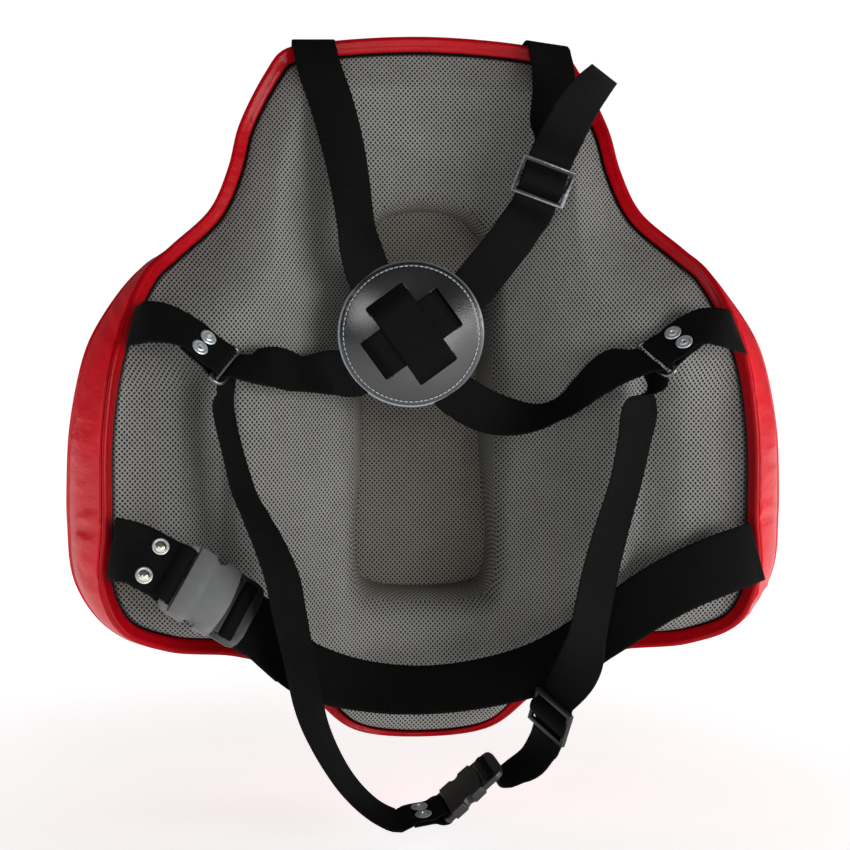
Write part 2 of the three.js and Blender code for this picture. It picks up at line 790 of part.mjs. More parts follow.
const shoulderFrame = frameOf(SHOULDER_SLIDER);
const loopSliderFrame = frameOf(LOOP_SLIDER);

// The weave of a strap through a slider: over the high rail, behind the bar, over the low rail.
function throughSlider(frame, rows) {
  return rows.map(([along, face]) => stationIn(frame, along, face));
}

const throughShoulder = throughSlider(shoulderFrame, [
  [19, 6],
  [13, 6],
  [9.6, 5.4],
  [6.2, 2.6],
  [3.6, -0.6],
  [0.6, -2.3],
  [-2.2, -2.6],
  [-5, -2.1],
  [-7, 0],
  [-9.2, 1.9],
  [-12, 2.6],
  [-18, 2.2],
]);
const throughLoop = throughSlider(loopSliderFrame, [
  [15, 3.4],
  [10.5, 3.2],
  [7.6, 2.4],
  [5.6, 0],
  [3.4, -2.4],
  [0, -3.2],
  [-3.4, -2.4],
  [-5.6, 0],
  [-7.6, 2.4],
  [-10.5, 3.2],
  [-15, 2.6],
]);

// Side-release buckles: x along the closed buckle from the sleeve's bar, y across, z out of its face
const BAR = { from: -2.2, to: 2.2 };
const SLEEVE_SLOT_END = 8.5;
const SLEEVE_END = 30;
const MALE_SLOT = { from: 40.5, to: 47 };
const MALE_END = 51.5;
const BUCKLE_FLAT = 4.2;
const SLEEVE_THICK = 9.5;

function buckleParts(spot) {
  const frame = frameOf(spot);
  const w = spot.width / 2;
  const inner = spot.webbing / 2 + 0.4;
  const k = spot.scale;
  const X = (x) => x * k;
  const flat = BUCKLE_FLAT / 2;
  const frameShape = new THREE.Shape();
  frameShape.moveTo(X(BAR.from), -w + 4);
  frameShape.lineTo(X(2), -w);
  frameShape.lineTo(X(SLEEVE_END), -w);
  frameShape.lineTo(X(SLEEVE_END), w);
  frameShape.lineTo(X(2), w);
  frameShape.lineTo(X(BAR.from), w - 4);
  frameShape.closePath();
  const slot = new THREE.Path();
  slot.moveTo(X(BAR.to), -inner);
  slot.lineTo(X(BAR.to), inner);
  slot.lineTo(X(SLEEVE_SLOT_END), inner);
  slot.lineTo(X(SLEEVE_SLOT_END), -inner);
  slot.closePath();
  frameShape.holes.push(slot);
  const tail = new THREE.ExtrudeGeometry(frameShape, { depth: BUCKLE_FLAT, bevelEnabled: false });
  tail.translate(0, 0, -flat);
  const sleeve = box(X(SLEEVE_SLOT_END), X(SLEEVE_END), -w, w, -SLEEVE_THICK / 2, SLEEVE_THICK / 2);
  const cavity = box(X(SLEEVE_SLOT_END + 3), X(SLEEVE_END + 2), -w + 3, w - 3, -flat - GAP, flat + GAP);
  const windows = [-1, 1].map((s) => box(X(14), X(24), s > 0 ? w - 5 : -w - 2, s > 0 ? w + 2 : -w + 5,
    -SLEEVE_THICK, SLEEVE_THICK));
  const female = cut(join([tail, sleeve]), [cavity, ...windows]);

  const arm = w - 5.4;
  const male = new THREE.Shape();
  male.moveTo(X(SLEEVE_END + 0.8), -w + 1);
  male.lineTo(X(MALE_END - 2), -w + 1);
  male.lineTo(X(MALE_END), -w + 4);
  male.lineTo(X(MALE_END), w - 4);
  male.lineTo(X(MALE_END - 2), w - 1);
  male.lineTo(X(SLEEVE_END + 0.8), w - 1);
  male.lineTo(X(SLEEVE_END + 0.8), arm + 0.6);
  male.lineTo(X(23.2), arm + 0.6);
  male.lineTo(X(23.2), w - 1);
  male.lineTo(X(15), arm);
  male.lineTo(X(15), arm - 3.4);
  male.lineTo(X(SLEEVE_END + 0.8), arm - 4.6);
  male.lineTo(X(SLEEVE_END + 0.8), 3.6);
  male.lineTo(X(13), 3);
  male.lineTo(X(13), -3);
  male.lineTo(X(SLEEVE_END + 0.8), -3.6);
  male.lineTo(X(SLEEVE_END + 0.8), -arm + 4.6);
  male.lineTo(X(15), -arm + 3.4);
  male.lineTo(X(15), -arm);
  male.lineTo(X(23.2), -w + 1);
  male.lineTo(X(23.2), -arm - 0.6);
  male.lineTo(X(SLEEVE_END + 0.8), -arm - 0.6);
  male.closePath();
  const ladder = new THREE.Path();
  ladder.moveTo(X(MALE_SLOT.from), -inner);
  ladder.lineTo(X(MALE_SLOT.from), inner);
  ladder.lineTo(X(MALE_SLOT.to), inner);
  ladder.lineTo(X(MALE_SLOT.to), -inner);
  ladder.closePath();
  male.holes.push(ladder);
  const maleGeometry = new THREE.ExtrudeGeometry(male, { depth: BUCKLE_FLAT, bevelEnabled: false });
  maleGeometry.translate(0, 0, -flat);

  const place = new THREE.Matrix4().makeBasis(frame.along, frame.face.clone().cross(frame.along), frame.face);
  for (const geometry of [female, maleGeometry]) {
    geometry.applyMatrix4(place);
    geometry.translate(frame.at.x, frame.at.y, frame.at.z);
  }
  const end = inFrame(frame, X((MALE_SLOT.to + MALE_END) / 2), 0);
  return {
    first: frameOf({ ...spot, along: spot.first }),
    last: frameOf({ ...spot, x: end.x, y: end.y, z: end.z, along: spot.last }),
    female,
    male: maleGeometry,
  };
}

const waistBuckle = buckleParts(BUCKLES.waist);
const loopBuckle = buckleParts(BUCKLES.loop);
const barTurn = 3.5 + WEB / 2;

// Rivets: a washer and domed head in front, a shank, and a flat washer behind, through both plies of a loop
const RIVET = { radius: 5.6, shank: 1.9, washer: 1, dome: 1.8, sides: 10, clear: 0.6 };

function rivetIn(frame, along, offset) {
  const front = PLY / 2 + WEB / 2 + RIVET.clear;
  const line = [
    [0, -front - RIVET.washer],
    [RIVET.radius, -front - RIVET.washer],
    [RIVET.radius, -front],
    [RIVET.shank, -front],
    [RIVET.shank, front],
    [RIVET.radius, front],
    [RIVET.radius, front + RIVET.washer],
    [RIVET.radius * 0.5, front + RIVET.dome],
    [0, front + RIVET.dome],
  ].map(([x, y]) => new THREE.Vector2(x, y));
  const body = new THREE.LatheGeometry(line, RIVET.sides);
  const hole = new THREE.CylinderGeometry(RIVET.shank + 0.35, RIVET.shank + 0.35, 16, RIVET.sides);
  const at = inFrame(frame, along, 0, offset);
  const basis = new THREE.Matrix4().makeBasis(frame.along, frame.face, frame.along.clone().cross(frame.face));
  for (const geometry of [body, hole]) {
    geometry.applyMatrix4(basis);
    geometry.translate(at.x, at.y, at.z);
  }
  return { body, hole };
}

// Straps, each one length of webbing from end to end
const crossLeft = layWebbing(loopRound([
  ...route('leftShoulder'),
  ...acrossPlate(plateFrames.over, overHeight),
  ...route('rightSide'),
  ...turnOnRing(rings.right.frame, -0.5),
  ...route('rightDrop'),
  ...throughLoop,
  ...route('rightLoop'),
], loopBuckle.last, -1, barTurn, 13), STRAP_WIDTH);

const crossRight = layWebbing(loopRound([
  ...route('tail'),
  ...throughShoulder,
  ...route('rightLower'),
  ...acrossPlate(plateFrames.under, underHeight),
  ...route('leftSide'),
  ...turnOnRing(rings.left.frame, -0.7),
  ...route('leftDrop'),
], loopBuckle.first, 1, barTurn, 22), STRAP_WIDTH);

const railFrame = { ...shoulderFrame, at: inFrame(shoulderFrame, (SHOULDER_RAILS.high[0] + SHOULDER_RAILS.high[1]) / 2, 0) };
const anchor = layWebbing(loopRound(route('anchor'), railFrame, -1, 3.4, 14), STRAP_WIDTH);
const tabLeft = layWebbing(loopRound(route('tabLeft'), rings.left.tab, 1, RING_WIRE + GAP + WEB / 2, 26), STRAP_WIDTH);
const tabRight = layWebbing(loopRound(route('tabRight'), rings.right.tab, 1, RING_WIRE + GAP + WEB / 2, 26), STRAP_WIDTH);
const waistTab = layWebbing(loopRound(route('waistTab'), waistBuckle.first, 1, barTurn, 27), WAIST_WIDTH);
const waist = layWebbing(loopRound(route('waistStrap'), waistBuckle.last, -1, barTurn, 19), WAIST_WIDTH, 30, WAIST_STEP);

const rivets = {
  rivet_side_left_upper: rivetIn(rings.left.tab, -16.5, 6.2),
  rivet_side_left_lower: rivetIn(rings.left.tab, -16.5, -6.2),
  rivet_side_right_upper: rivetIn(rings.right.tab, -16.5, 6.2),
  rivet_side_right_lower: rivetIn(rings.right.tab, -16.5, -6.2),
  rivet_waist_upper: rivetIn(waistBuckle.first, -17.5, 11),
  rivet_waist_lower: rivetIn(waistBuckle.first, -17.5, -11),
  rivet_loop_upper: rivetIn(loopBuckle.first, -14, 6.2),
  rivet_loop_lower: rivetIn(loopBuckle.first, -14, -6.2),
};

// The whole object
const group = new THREE.Group();

function add(name, geometry, material) {
  const mesh = new THREE.Mesh(geometry, material);
  mesh.name = name;
  group.add(mesh);
}

const holesOf = (...names) => names.map((name) => rivets[name].hole);
add('cover', coverGeometry, RED_VINYL);
add('edge_binding', bindingGeometry, RED_VINYL);
add('lining_pad', padGeometry, AIR_MESH);
add('back_plate', plateGeometry(), LEATHER);
add('cross_strap_left', crossLeft.geometry, WEBBING);
add('cross_strap_right', cut(crossRight.geometry, holesOf('rivet_loop_upper', 'rivet_loop_lower')), WEBBING);
add('shoulder_anchor_strap', anchor.geometry, WEBBING);
add('shoulder_slider', sliderGeometry(SHOULDER_RAILS, SHOULDER_SLIDER), STEEL);
add('loop_slider', sliderGeometry(LOOP_RAILS, LOOP_SLIDER), PLASTIC);
add('side_tab_left', cut(tabLeft.geometry, holesOf('rivet_side_left_upper', 'rivet_side_left_lower')), WEBBING);
add('side_tab_right', cut(tabRight.geometry, holesOf('rivet_side_right_upper', 'rivet_side_right_lower')), WEBBING);
add('ring_left', rings.left.geometry, STEEL);
add('ring_right', rings.right.geometry, STEEL);
add('waist_tab', cut(waistTab.geometry, holesOf('rivet_waist_upper', 'rivet_waist_lower')), WEBBING);
add('waist_strap', waist.geometry, WEBBING);
add('waist_buckle_female', waistBuckle.female, PLASTIC);
add('waist_buckle_male', waistBuckle.male, PLASTIC);
add('loop_buckle_female', loopBuckle.female, PLASTIC);
add('loop_buckle_male', loopBuckle.male, PLASTIC);
for (const [name, rivet] of Object.entries(rivets)) {
  add(name, rivet.body, ZINC);
}

export default group;
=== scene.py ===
# Boxing chest protector with its strap harness, worn side to the viewer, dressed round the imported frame.
import math

import bpy
import numpy as np
from mathutils import Matrix, Vector


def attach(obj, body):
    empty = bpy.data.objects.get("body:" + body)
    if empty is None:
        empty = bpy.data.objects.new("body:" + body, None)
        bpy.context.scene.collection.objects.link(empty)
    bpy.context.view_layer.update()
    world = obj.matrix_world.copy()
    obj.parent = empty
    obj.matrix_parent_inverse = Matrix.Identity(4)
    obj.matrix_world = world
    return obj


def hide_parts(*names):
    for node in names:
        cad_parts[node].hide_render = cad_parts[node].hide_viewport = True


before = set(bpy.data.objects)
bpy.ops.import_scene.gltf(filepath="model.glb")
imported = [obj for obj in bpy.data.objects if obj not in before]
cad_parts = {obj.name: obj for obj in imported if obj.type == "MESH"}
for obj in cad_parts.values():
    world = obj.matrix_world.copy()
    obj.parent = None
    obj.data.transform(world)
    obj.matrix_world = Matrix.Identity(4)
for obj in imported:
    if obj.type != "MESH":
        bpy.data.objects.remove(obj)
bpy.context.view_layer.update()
bpy.ops.object.select_all(action="DESELECT")


# Lining pad
# Moulded foam, hollowed over the breastbone and along both wings, faced with grey knitted spacer mesh.
# It is pushed into the red cover, and its edge is tucked down behind the rolled rim.
MM = 0.001
MIDDLE_Z = 15
BINDING_THICK = 3.4
FRONT_CROWN = 82
RECESS_FLOOR = 44
FLOOR_RISE = 22
RIM_PITCH = 4.4
RIM_EASINGS = 12
# The worn face: fall of the barrel at the waist and at the neck, over its half width, and the lift beyond
BARREL_WAIST, BARREL_NECK, BARREL_HALF = 84, 28, 165
WING_LIFT, WING_FROM = 0.16, 168
# The valley along each wing: its middle, its depth, and its width towards the chest and towards the rim
VALLEY_X, VALLEY_DEPTH, VALLEY_INNER, VALLEY_OUTER = 142, 16, 10, 20

# Half of the rim: crest x, y, z, flare of the outer seam, depth of the side wall, bevel of the lining,
# then the tilt and the width of the binding
RIM_HALF = np.array([
    (0, 8, 270.5, 0, 38, 24, 8, 10.5),
    (70, 6, 265.5, 0, 38, 24, 8, 10.5),
    (98, 3, 259, 0, 38, 22, 10, 10.5),
    (110, 0, 243, 0, 38, 30, 14, 10),
    (128, -5, 206, 0, 38, 35, 18, 9.5),
    (135, -12, 177, 0, 40, 38, 20, 9.5),
    (147, -21, 148, 0, 42, 46, 24, 9.5),
    (173, -40, 121, 2, 45, 58, 30, 10),
    (188, -54, 104, 9, 49, 58, 40, 10.5),
    (205, -78, 54, 26, 54, 34, 62, 11),
    (212, -85, 0, 31, 55, 24, 70, 11),
    (213, -85, -60, 33, 55, 24, 70, 11),
    (215, -82, -100, 26, 50, 24, 62, 11),
    (204, -76, -129, 13, 46, 24, 50, 11),
    (176, -56, -146, 3, 44, 26, 36, 11),
    (131, -28, -156, 0, 42, 26, 22, 11),
    (92, -3, -174, 0, 40, 26, 12, 10),
    (74, 10, -198, 0, 38, 26, 8, 7.5),
    (49, 20, -219.5, 0, 36, 26, 6, 4.6),
    (0, 26, -227, 0, 36, 26, 6, 3.4),
], float)
# Half of the arched recess, x and z at its floor
RECESS_HALF = np.array([
    (0, 152), (26, 147), (41, 131), (45, 110), (43, 40), (45, -30), (48, -95), (42, -114), (0, -121),
], float)


def mix(a, b, f):
    return a + (b - a) * f


def smooth(low, high, value):
    f = np.clip((value - low) / (high - low), 0, 1)
    return f * f * (3 - 2 * f)


def unit(vectors):
    return vectors / np.linalg.norm(vectors, axis=-1, keepdims=True)


def curve_through(points, counts, closed):
    """A smooth curve through points: places, directions and steps, counts[i] of them from point i on."""
    if closed:
        around = np.vstack([points[-1:], points, points[:2]])
    else:
        around = np.vstack([2 * points[:1] - points[1:2], points, 2 * points[-1:] - points[-2:-1]])
    places, runs, steps = [], [], []
    for i, count in enumerate(counts):
        a, b, c, d = around[i:i + 4]
        k0, k1, k2 = (max(np.linalg.norm(q - p), 1e-6) ** 0.5 for p, q in ((a, b), (b, c), (c, d)))
        start = ((b - a) / k0 - (c - a) / (k0 + k1) + (c - b) / k1) * k1
        end = ((c - b) / k1 - (d - b) / (k1 + k2) + (d - c) / k2) * k1
        square = 3 * (c - b) - 2 * start - end
        cube = 2 * (b - c) + start + end
        last = 1 if not closed and i == len(counts) - 1 else 0
        for f in np.linspace(0, 1, count + 1)[:count + last]:
            places.append(b + start * f + square * f ** 2 + cube * f ** 3)
            runs.append(start + 2 * square * f + 3 * cube * f ** 2)
            steps.append(i + f)
    return np.array(places), unit(np.array(runs)), np.array(steps)


rim_rows = np.vstack([RIM_HALF, RIM_HALF[-2:0:-1] * (-1, 1, 1, 1, 1, 1, 1, 1)])
rim_spans = np.linalg.norm(np.roll(rim_rows[:, :3], -1, 0) - rim_rows[:, :3], axis=1)
rim_counts = np.round(rim_spans / RIM_PITCH).astype(int)
crest, rim_run, rim_step = curve_through(rim_rows[:, :3], rim_counts, True)
RIM_COUNT = len(crest)


def rim_column(number):
    """A column of the rim's table at every station, with its corners eased."""
    rows = np.append(rim_rows[:, number], rim_rows[0, number])
    values = np.interp(rim_step, np.arange(len(rows)), rows)
    for turn in range(RIM_EASINGS):
        values = (np.roll(values, 1) + 2 * values + np.roll(values, -1)) / 4
    return values


flare, wall_depth, bevel, stand, binding_width = (rim_column(number) for number in range(3, 8))
inward = unit(np.stack([rim_run[:, 2], 0 * flare, -rim_run[:, 0]], 1))
from_viewer = np.array([0.0, 1.0, 0.0])
tilt = np.radians(stand)[:, None]
rim_along = inward * np.cos(tilt) + from_viewer * np.sin(tilt)
rim_behind = from_viewer * np.cos(tilt) - inward * np.sin(tilt)


def at_rim(along, behind):
    """Points of the rim's section: how far in along the binding, and how far behind its face."""
    return crest + rim_along * np.reshape(along, (-1, 1)) + rim_behind * behind


def pad_face(x, z):
    """Height of the pad's worn face: a barrel across the chest with a valley along each wing."""
    up = smooth(60, 250, z)
    far = np.abs(x)
    lift = 0.5 - 0.5 * np.cos(np.pi * np.minimum(far / BARREL_HALF, 1))
    barrel = mix(BARREL_WAIST, BARREL_NECK, up) * lift
    base = mix(12, 4, up) - barrel + WING_LIFT * np.maximum(far - WING_FROM, 0)
    off = far - VALLEY_X + 0.45 * np.maximum(0, -90 - z)
    valley = off / np.where(off < 0, VALLEY_INNER, VALLEY_OUTER)
    reach = (1 - smooth(25, 65, z)) * smooth(-170, -130, z)
    return base + VALLEY_DEPTH * np.exp(-valley * valley) * reach


CLOTH_SAMPLES = 40


def cloth_run(x, z):
    """Distance along the cloth from the middle of the chest out to x."""
    shares = np.linspace(0, 1, CLOTH_SAMPLES)
    heights = pad_face(x[..., None] * shares, z[..., None] + 0 * shares)
    widths = np.abs(x)[..., None] / (CLOTH_SAMPLES - 1)
    return np.sign(x) * np.sqrt(np.diff(heights, axis=-1) ** 2 + widths ** 2).sum(-1)


def shell(name, rings, first, last, marks=None):
    """A closed skin in millimetres through rings of points, from one pole to the other, with marks."""
    rows, count = rings.shape[:2]
    points = np.vstack([first, rings.reshape(-1, 3), last])
    low = 1 + np.arange(rows - 1)[:, None] * count
    here = low + np.arange(count)
    beside = low + (np.arange(count) + 1) % count
    quads = np.stack([here, beside, beside + count, here + count], -1).reshape(-1, 4)
    turn = np.arange(count)
    after = (turn + 1) % count
    top = 1 + (rows - 1) * count
    start = np.stack([0 * turn, 1 + after, 1 + turn], 1)
    close = np.stack([top + turn, top + after, 0 * turn + len(points) - 1], 1)
    return mesh_piece(name, points, [start, quads, close], marks=marks)


def mesh_piece(name, points, groups, sheets=None, marks=None):
    """A mesh with its faces turned outwards. sheets gives each group of faces its UV for every point."""
    triangles = np.vstack([g[:, [0, k, k + 1]] for g in groups for k in range(1, g.shape[1] - 1)])
    a, b, c = (points[triangles[:, k]] for k in range(3))
    if np.einsum("ij,ij->i", a, np.cross(b, c)).sum() < 0:
        groups = [g[:, ::-1] for g in groups]
    mesh = bpy.data.meshes.new(name)
    mesh.from_pydata((points * MM).tolist(), [], [face for g in groups for face in g.tolist()])
    if sheets is not None:
        layer = mesh.uv_layers.new(name="cloth")
        corners = np.vstack([sheet[g.reshape(-1)] for sheet, g in zip(sheets, groups)])
        layer.data.foreach_set("uv", (corners * MM).astype(np.float32).reshape(-1))
    for mark, values in (marks or {}).items():
        mesh.attributes.new(mark, "FLOAT", "POINT").data.foreach_set("value", values.astype(np.float32))
    mesh.shade_smooth()
    piece = bpy.data.objects.new(name, mesh)
    bpy.context.collection.objects.link(piece)
    return piece


lining_edge = binding_width + 1.5
edge_line = at_rim(lining_edge, 1.2)
out_x, out_z = edge_line[:, 0], edge_line[:, 2] - MIDDLE_Z
edge_reach = np.hypot(out_x, out_z)
out_x, out_z = out_x / edge_reach, out_z / edge_reach
recess_rows = np.vstack([RECESS_HALF, RECESS_HALF[-2:0:-1] * (-1, 1)])
recess_line = curve_through(np.insert(recess_rows, 1, 0, axis=1), [30] * len(recess_rows), True)[0]
recess_bearing = np.arctan2(recess_line[:, 0], recess_line[:, 2] - MIDDLE_Z)
recess_order = np.argsort(recess_bearing)
recess_reach = np.hypot(recess_line[:, 0], recess_line[:, 2] - MIDDLE_Z)
floor_reach = np.interp(
    np.arctan2(out_x, out_z), recess_bearing[recess_order], recess_reach[recess_order], period=2 * np.pi)
# Rows of the worn face, from the middle out to the edge: over the recess floor, up its wall, over the pad
FLOOR_SHARES = (0.12, 0.32, 0.54, 0.76, 0.92)
WALL_FROM, WALL_FOOT, WALL_TO, WALL_RUN = -10, -2, 22, 22
WALL_ROWS, PAD_ROWS = 24, 48
BRINK_ROW = len(FLOOR_SHARES) + 17
lining_reaches = [share * (floor_reach + WALL_FROM) for share in FLOOR_SHARES]
wall_steps = [WALL_FROM, -6.5, -4, -2.6]
wall_steps += [mix(WALL_FOOT, WALL_TO, (k / WALL_ROWS) ** 1.8) for k in range(WALL_ROWS + 1)]
lining_reaches += [floor_reach + offset for offset in wall_steps]
for share in np.linspace(0, 1, PAD_ROWS + 1)[1:]:
    lining_reaches.append(mix(floor_reach + WALL_TO, edge_reach, 1 - (1 - share) ** 1.3))
lining_reaches = np.array(lining_reaches)
pad_x = out_x * lining_reaches
pad_z = MIDDLE_Z + out_z * lining_reaches
clear = np.clip((edge_reach - lining_reaches) / bevel, 0, 1)
rolled = np.sqrt(1 - (1 - clear) ** 2)
slanted = 1 - (1 - clear) ** 1.22
edge_round = mix(rolled, slanted, smooth(20, 60, crest[:, 2]))
pad_height = mix(edge_line[:, 1], pad_face(pad_x, pad_z), edge_round)
wall_rise = np.clip((lining_reaches - floor_reach - WALL_FOOT) / WALL_RUN, 0, 1)
sunk = 1 - np.sqrt(1 - (1 - wall_rise) ** 2)
recess_floor = RECESS_FLOOR - FLOOR_RISE * smooth(20, 150, pad_z)
pad_y = mix(pad_height, recess_floor, sunk)
face_rings = np.stack([pad_x, pad_y, pad_z], -1)
SEAM_INSET, FOAM_INSET, FOAM_SHORT = 1.5, 7, 4
seam_line = crest + inward * (SEAM_INSET - flare)[:, None]
seam_line[:, 1] = crest[:, 1] + wall_depth
hidden = seam_line + inward * FOAM_INSET - from_viewer * FOAM_SHORT
tuck_end = at_rim(5.6, 5.4)
tuck_rings = [at_rim(lining_edge - 0.3, 3.0), at_rim(lining_edge - 1.6, 5.0), tuck_end]
back_rings = [mix(tuck_end, hidden, 0.5), hidden]
FOAM_CROWN = FRONT_CROWN - 6
CROWN_POWER = 2.2
BACK_SHARES = (0.9, 0.6, 0.3)
for share in BACK_SHARES:
    back_rings.append(np.stack([
        hidden[:, 0] * share,
        mix(FOAM_CROWN, hidden[:, 1], share ** CROWN_POWER),
        mix(MIDDLE_Z, hidden[:, 2], share),
    ], 1))
lining_rings = np.concatenate([face_rings, tuck_rings, back_rings])
lining_first = np.array([0, RECESS_FLOOR, MIDDLE_Z], float)
lining_last = np.array([0, FOAM_CROWN, MIDDLE_Z], float)
arc_steps = np.hypot(np.diff(lining_reaches, axis=0), np.diff(pad_y, axis=0))
arc = np.vstack([lining_reaches[:1], lining_reaches[:1] + np.cumsum(arc_steps, axis=0)])
recess_sheet = np.zeros((2 + lining_rings.shape[0] * RIM_COUNT, 2))
face_sheet = recess_sheet.copy()
shown = len(face_rings) * RIM_COUNT
recess_sheet[1:1 + shown] = np.stack([out_x * arc, out_z * arc], -1).reshape(-1, 2)
face_sheet[1:1 + shown] = np.stack([cloth_run(pad_x, pad_z), pad_z], -1).reshape(-1, 2)
edge_sheet = face_sheet[1 + shown - RIM_COUNT:1 + shown]
face_sheet[1 + shown:-1] = np.tile(edge_sheet, (len(lining_rings) - len(face_rings), 1))
# Painted shade: near-black where the mesh dives down under the rolled rim, and on its hidden part behind
painted_rim_gap_shade = np.zeros(len(face_sheet))
painted_rim_gap_shade[1:1 + shown] = smooth(2.0, 0.4, edge_reach - lining_reaches).reshape(-1)
painted_rim_gap_shade[1 + shown:-1] = 1
# Painted shade: how far each point has sunk into the recess, so that the mesh there can be painted darker
# and browner
painted_recess_shade = np.ones(len(face_sheet))
painted_recess_shade[1:1 + shown] = sunk.reshape(-1)
painted_recess_shade[1 + shown:] = 0
lining = shell("lining", lining_rings, lining_first, lining_last,
               marks={"painted_rim_gap_shade": painted_rim_gap_shade, "painted_recess_shade": painted_recess_shade})
cloth_layer = lining.data.uv_layers.new(name="cloth")
corner_points = np.zeros(len(lining.data.loops), int)
lining.data.loops.foreach_get("vertex_index", corner_points)
face_sizes = np.zeros(len(lining.data.polygons), int)
lining.data.polygons.foreach_get("loop_total", face_sizes)
face_numbers = np.repeat(np.arange(len(face_sizes)), face_sizes)
inside_recess = face_numbers < RIM_COUNT * (1 + BRINK_ROW)
corner_sheet = np.where(inside_recess[:, None], recess_sheet[corner_points], face_sheet[corner_points])
cloth_layer.data.foreach_set("uv", (corner_sheet * MM).astype(np.float32).reshape(-1))


class Signal:
    """A socket in a material's node tree. Sums and products add Math nodes, and node adds any other."""

    def __init__(self, tree, socket=None):
        self.tree = tree
        self.socket = socket

    def node(self, kind, settings, inputs, output=0):
        made = self.tree.nodes.new(kind)
        for name, value in settings.items():
            setattr(made, name, value)
        for name, value in inputs.items():
            if isinstance(value, Signal):
                self.tree.links.new(value.socket, made.inputs[name])
            else:
                made.inputs[name].default_value = value
        return Signal(self.tree, made.outputs[output])

    def math(self, operation, *values):
        return self.node("ShaderNodeMath", {"operation": operation}, dict(enumerate(values)))

    def __add__(self, other):
        return self.math("ADD", self, other)

    def __radd__(self, other):
        return self.math("ADD", other, self)

    def __sub__(self, other):
        return self.math("SUBTRACT", self, other)

    def __rsub__(self, other):
        return self.math("SUBTRACT", other, self)

    def __mul__(self, other):
        return self.math("MULTIPLY", self, other)

    def __rmul__(self, other):
        return self.math("MULTIPLY", other, self)

    def wave(self):
        """Cosine of the signal counted in whole turns."""
        return self.math("COSINE", self * (2 * math.pi))

    def rise(self, low, high):
        """0 below low, 1 above high, and a smooth step between them."""
        settings = {"interpolation_type": "SMOOTHSTEP"}
        return self.node("ShaderNodeMapRange", settings, {"Value": self, "From Min": low, "From Max": high})

    def colours(self, none, full):
        """From one colour to another as the signal goes from 0 to 1."""
        return self.node("ShaderNodeMix", {"data_type": "RGBA"}, {0: self, 6: none, 7: full}, 2)


def rgb(red, green, blue):
    """A colour as a picture shows it, in the renderer's linear numbers."""
    shares = [c / 255 for c in (red, green, blue)]
    linear = [c / 12.92 if c < 11 / 255 else ((c + 0.055) / 1.055) ** 2.4 for c in shares]
    return (*linear, 1.0)


def new_finish(name, **sockets):
    """A material with its fixed sockets set, a pen for more nodes, and a way to feed its shader."""
    material = bpy.data.materials.new(name)
    material.use_nodes = True
    tree = material.node_tree
    shader = tree.nodes["Principled BSDF"]
    for socket, value in sockets.items():
        shader.inputs[socket.replace("_", " ")].default_value = value

    def feed(socket, signal):
        tree.links.new(signal.socket, shader.inputs[socket])

    return material, Signal(tree), feed


def noise(pen, place, scale, detail=3.0):
    """Cloudy noise from 0 to 1 at so many blobs a metre."""
    inputs = {"Vector": place, "Scale": scale, "Detail": detail, "Roughness": 0.55}
    return pen.node("ShaderNodeTexNoise", {}, inputs)


def bumped(pen, height, depth, strength=1.0):
    """A normal from a height between 0 and 1, over a depth in metres."""
    return pen.node("ShaderNodeBump", {}, {"Strength": strength, "Distance": depth, "Height": height})


def object_place(pen):
    return pen.node("ShaderNodeTexCoord", {}, {}, 3)


def mark(pen, name):
    return pen.node("ShaderNodeAttribute", {"attribute_name": name}, {}, 2)


def cloth_axes(pen):
    """Distances in metres across and along a piece's cloth."""
    uv = pen.node("ShaderNodeUVMap", {"uv_map": "cloth"}, {})
    return [pen.node("ShaderNodeSeparateXYZ", {}, {0: uv}, k) for k in (0, 1)]


MESH_ACROSS = 3.3 * MM
MESH_ALONG = 3.6 * MM
mesh_finish, pen, feed = new_finish("air_mesh", Specular_IOR_Level=0.25)
across, along = cloth_axes(pen)
place = object_place(pen)
wander = noise(pen, place, 60.0) - 0.5
columns = (across * (1 / MESH_ACROSS) + wander * 0.25).wave()
rows = (along * (1 / MESH_ALONG) + wander * 0.2).wave()
hole = (columns * rows + wander * 0.3).rise(0.05, 0.5)
yarn = noise(pen, place, 2600.0, 2.0)
soil = noise(pen, place, 9.0, 2.0).rise(0.3, 0.75)
thread_grey = soil.colours(rgb(128, 127, 123), rgb(146, 145, 141))
# Darker, browner threads down in the recess: painted shade
thread_in_painted_shade = soil.colours(rgb(112, 108, 99), rgb(128, 123, 112))
painted_recess_shade_mark = mark(pen, "painted_recess_shade")
thread = painted_recess_shade_mark.colours(thread_grey, thread_in_painted_shade)
thread = (yarn.rise(0.25, 0.7) * 0.5).colours(thread, rgb(96, 95, 93))
cloth_colour = hole.colours(thread, rgb(24, 24, 24))
# Near-black painted shade in the gap under the rolled rim
feed("Base Color", mark(pen, "painted_rim_gap_shade").colours(cloth_colour, rgb(9, 9, 9)))
feed("Roughness", 0.72 + hole * 0.2)
feed("Normal", bumped(pen, (1 - hole) * 0.85 + yarn * 0.15, 0.7 * MM, 0.8))
lining.data.materials.append(mesh_finish)
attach(lining, "root")
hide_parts("lining_pad")


# Cover
# Glossy red vinyl sewn as a shallow box: a crowned front, piped along its outer seam, and a side wall
# turned to the rim. The wall is stretched over the foam and creases where the straps pull on the rim.
COVER_WALL = 2.5
WALL_SHARES = np.concatenate([np.linspace(0, 0.8, 17), np.linspace(0.83, 1, 12)])
FRONT_SHARES = (0.99, 0.975, 0.96, 0.945, 0.93, 0.9, 0.85, 0.78, 0.7, 0.6, 0.49, 0.37, 0.24, 0.1)
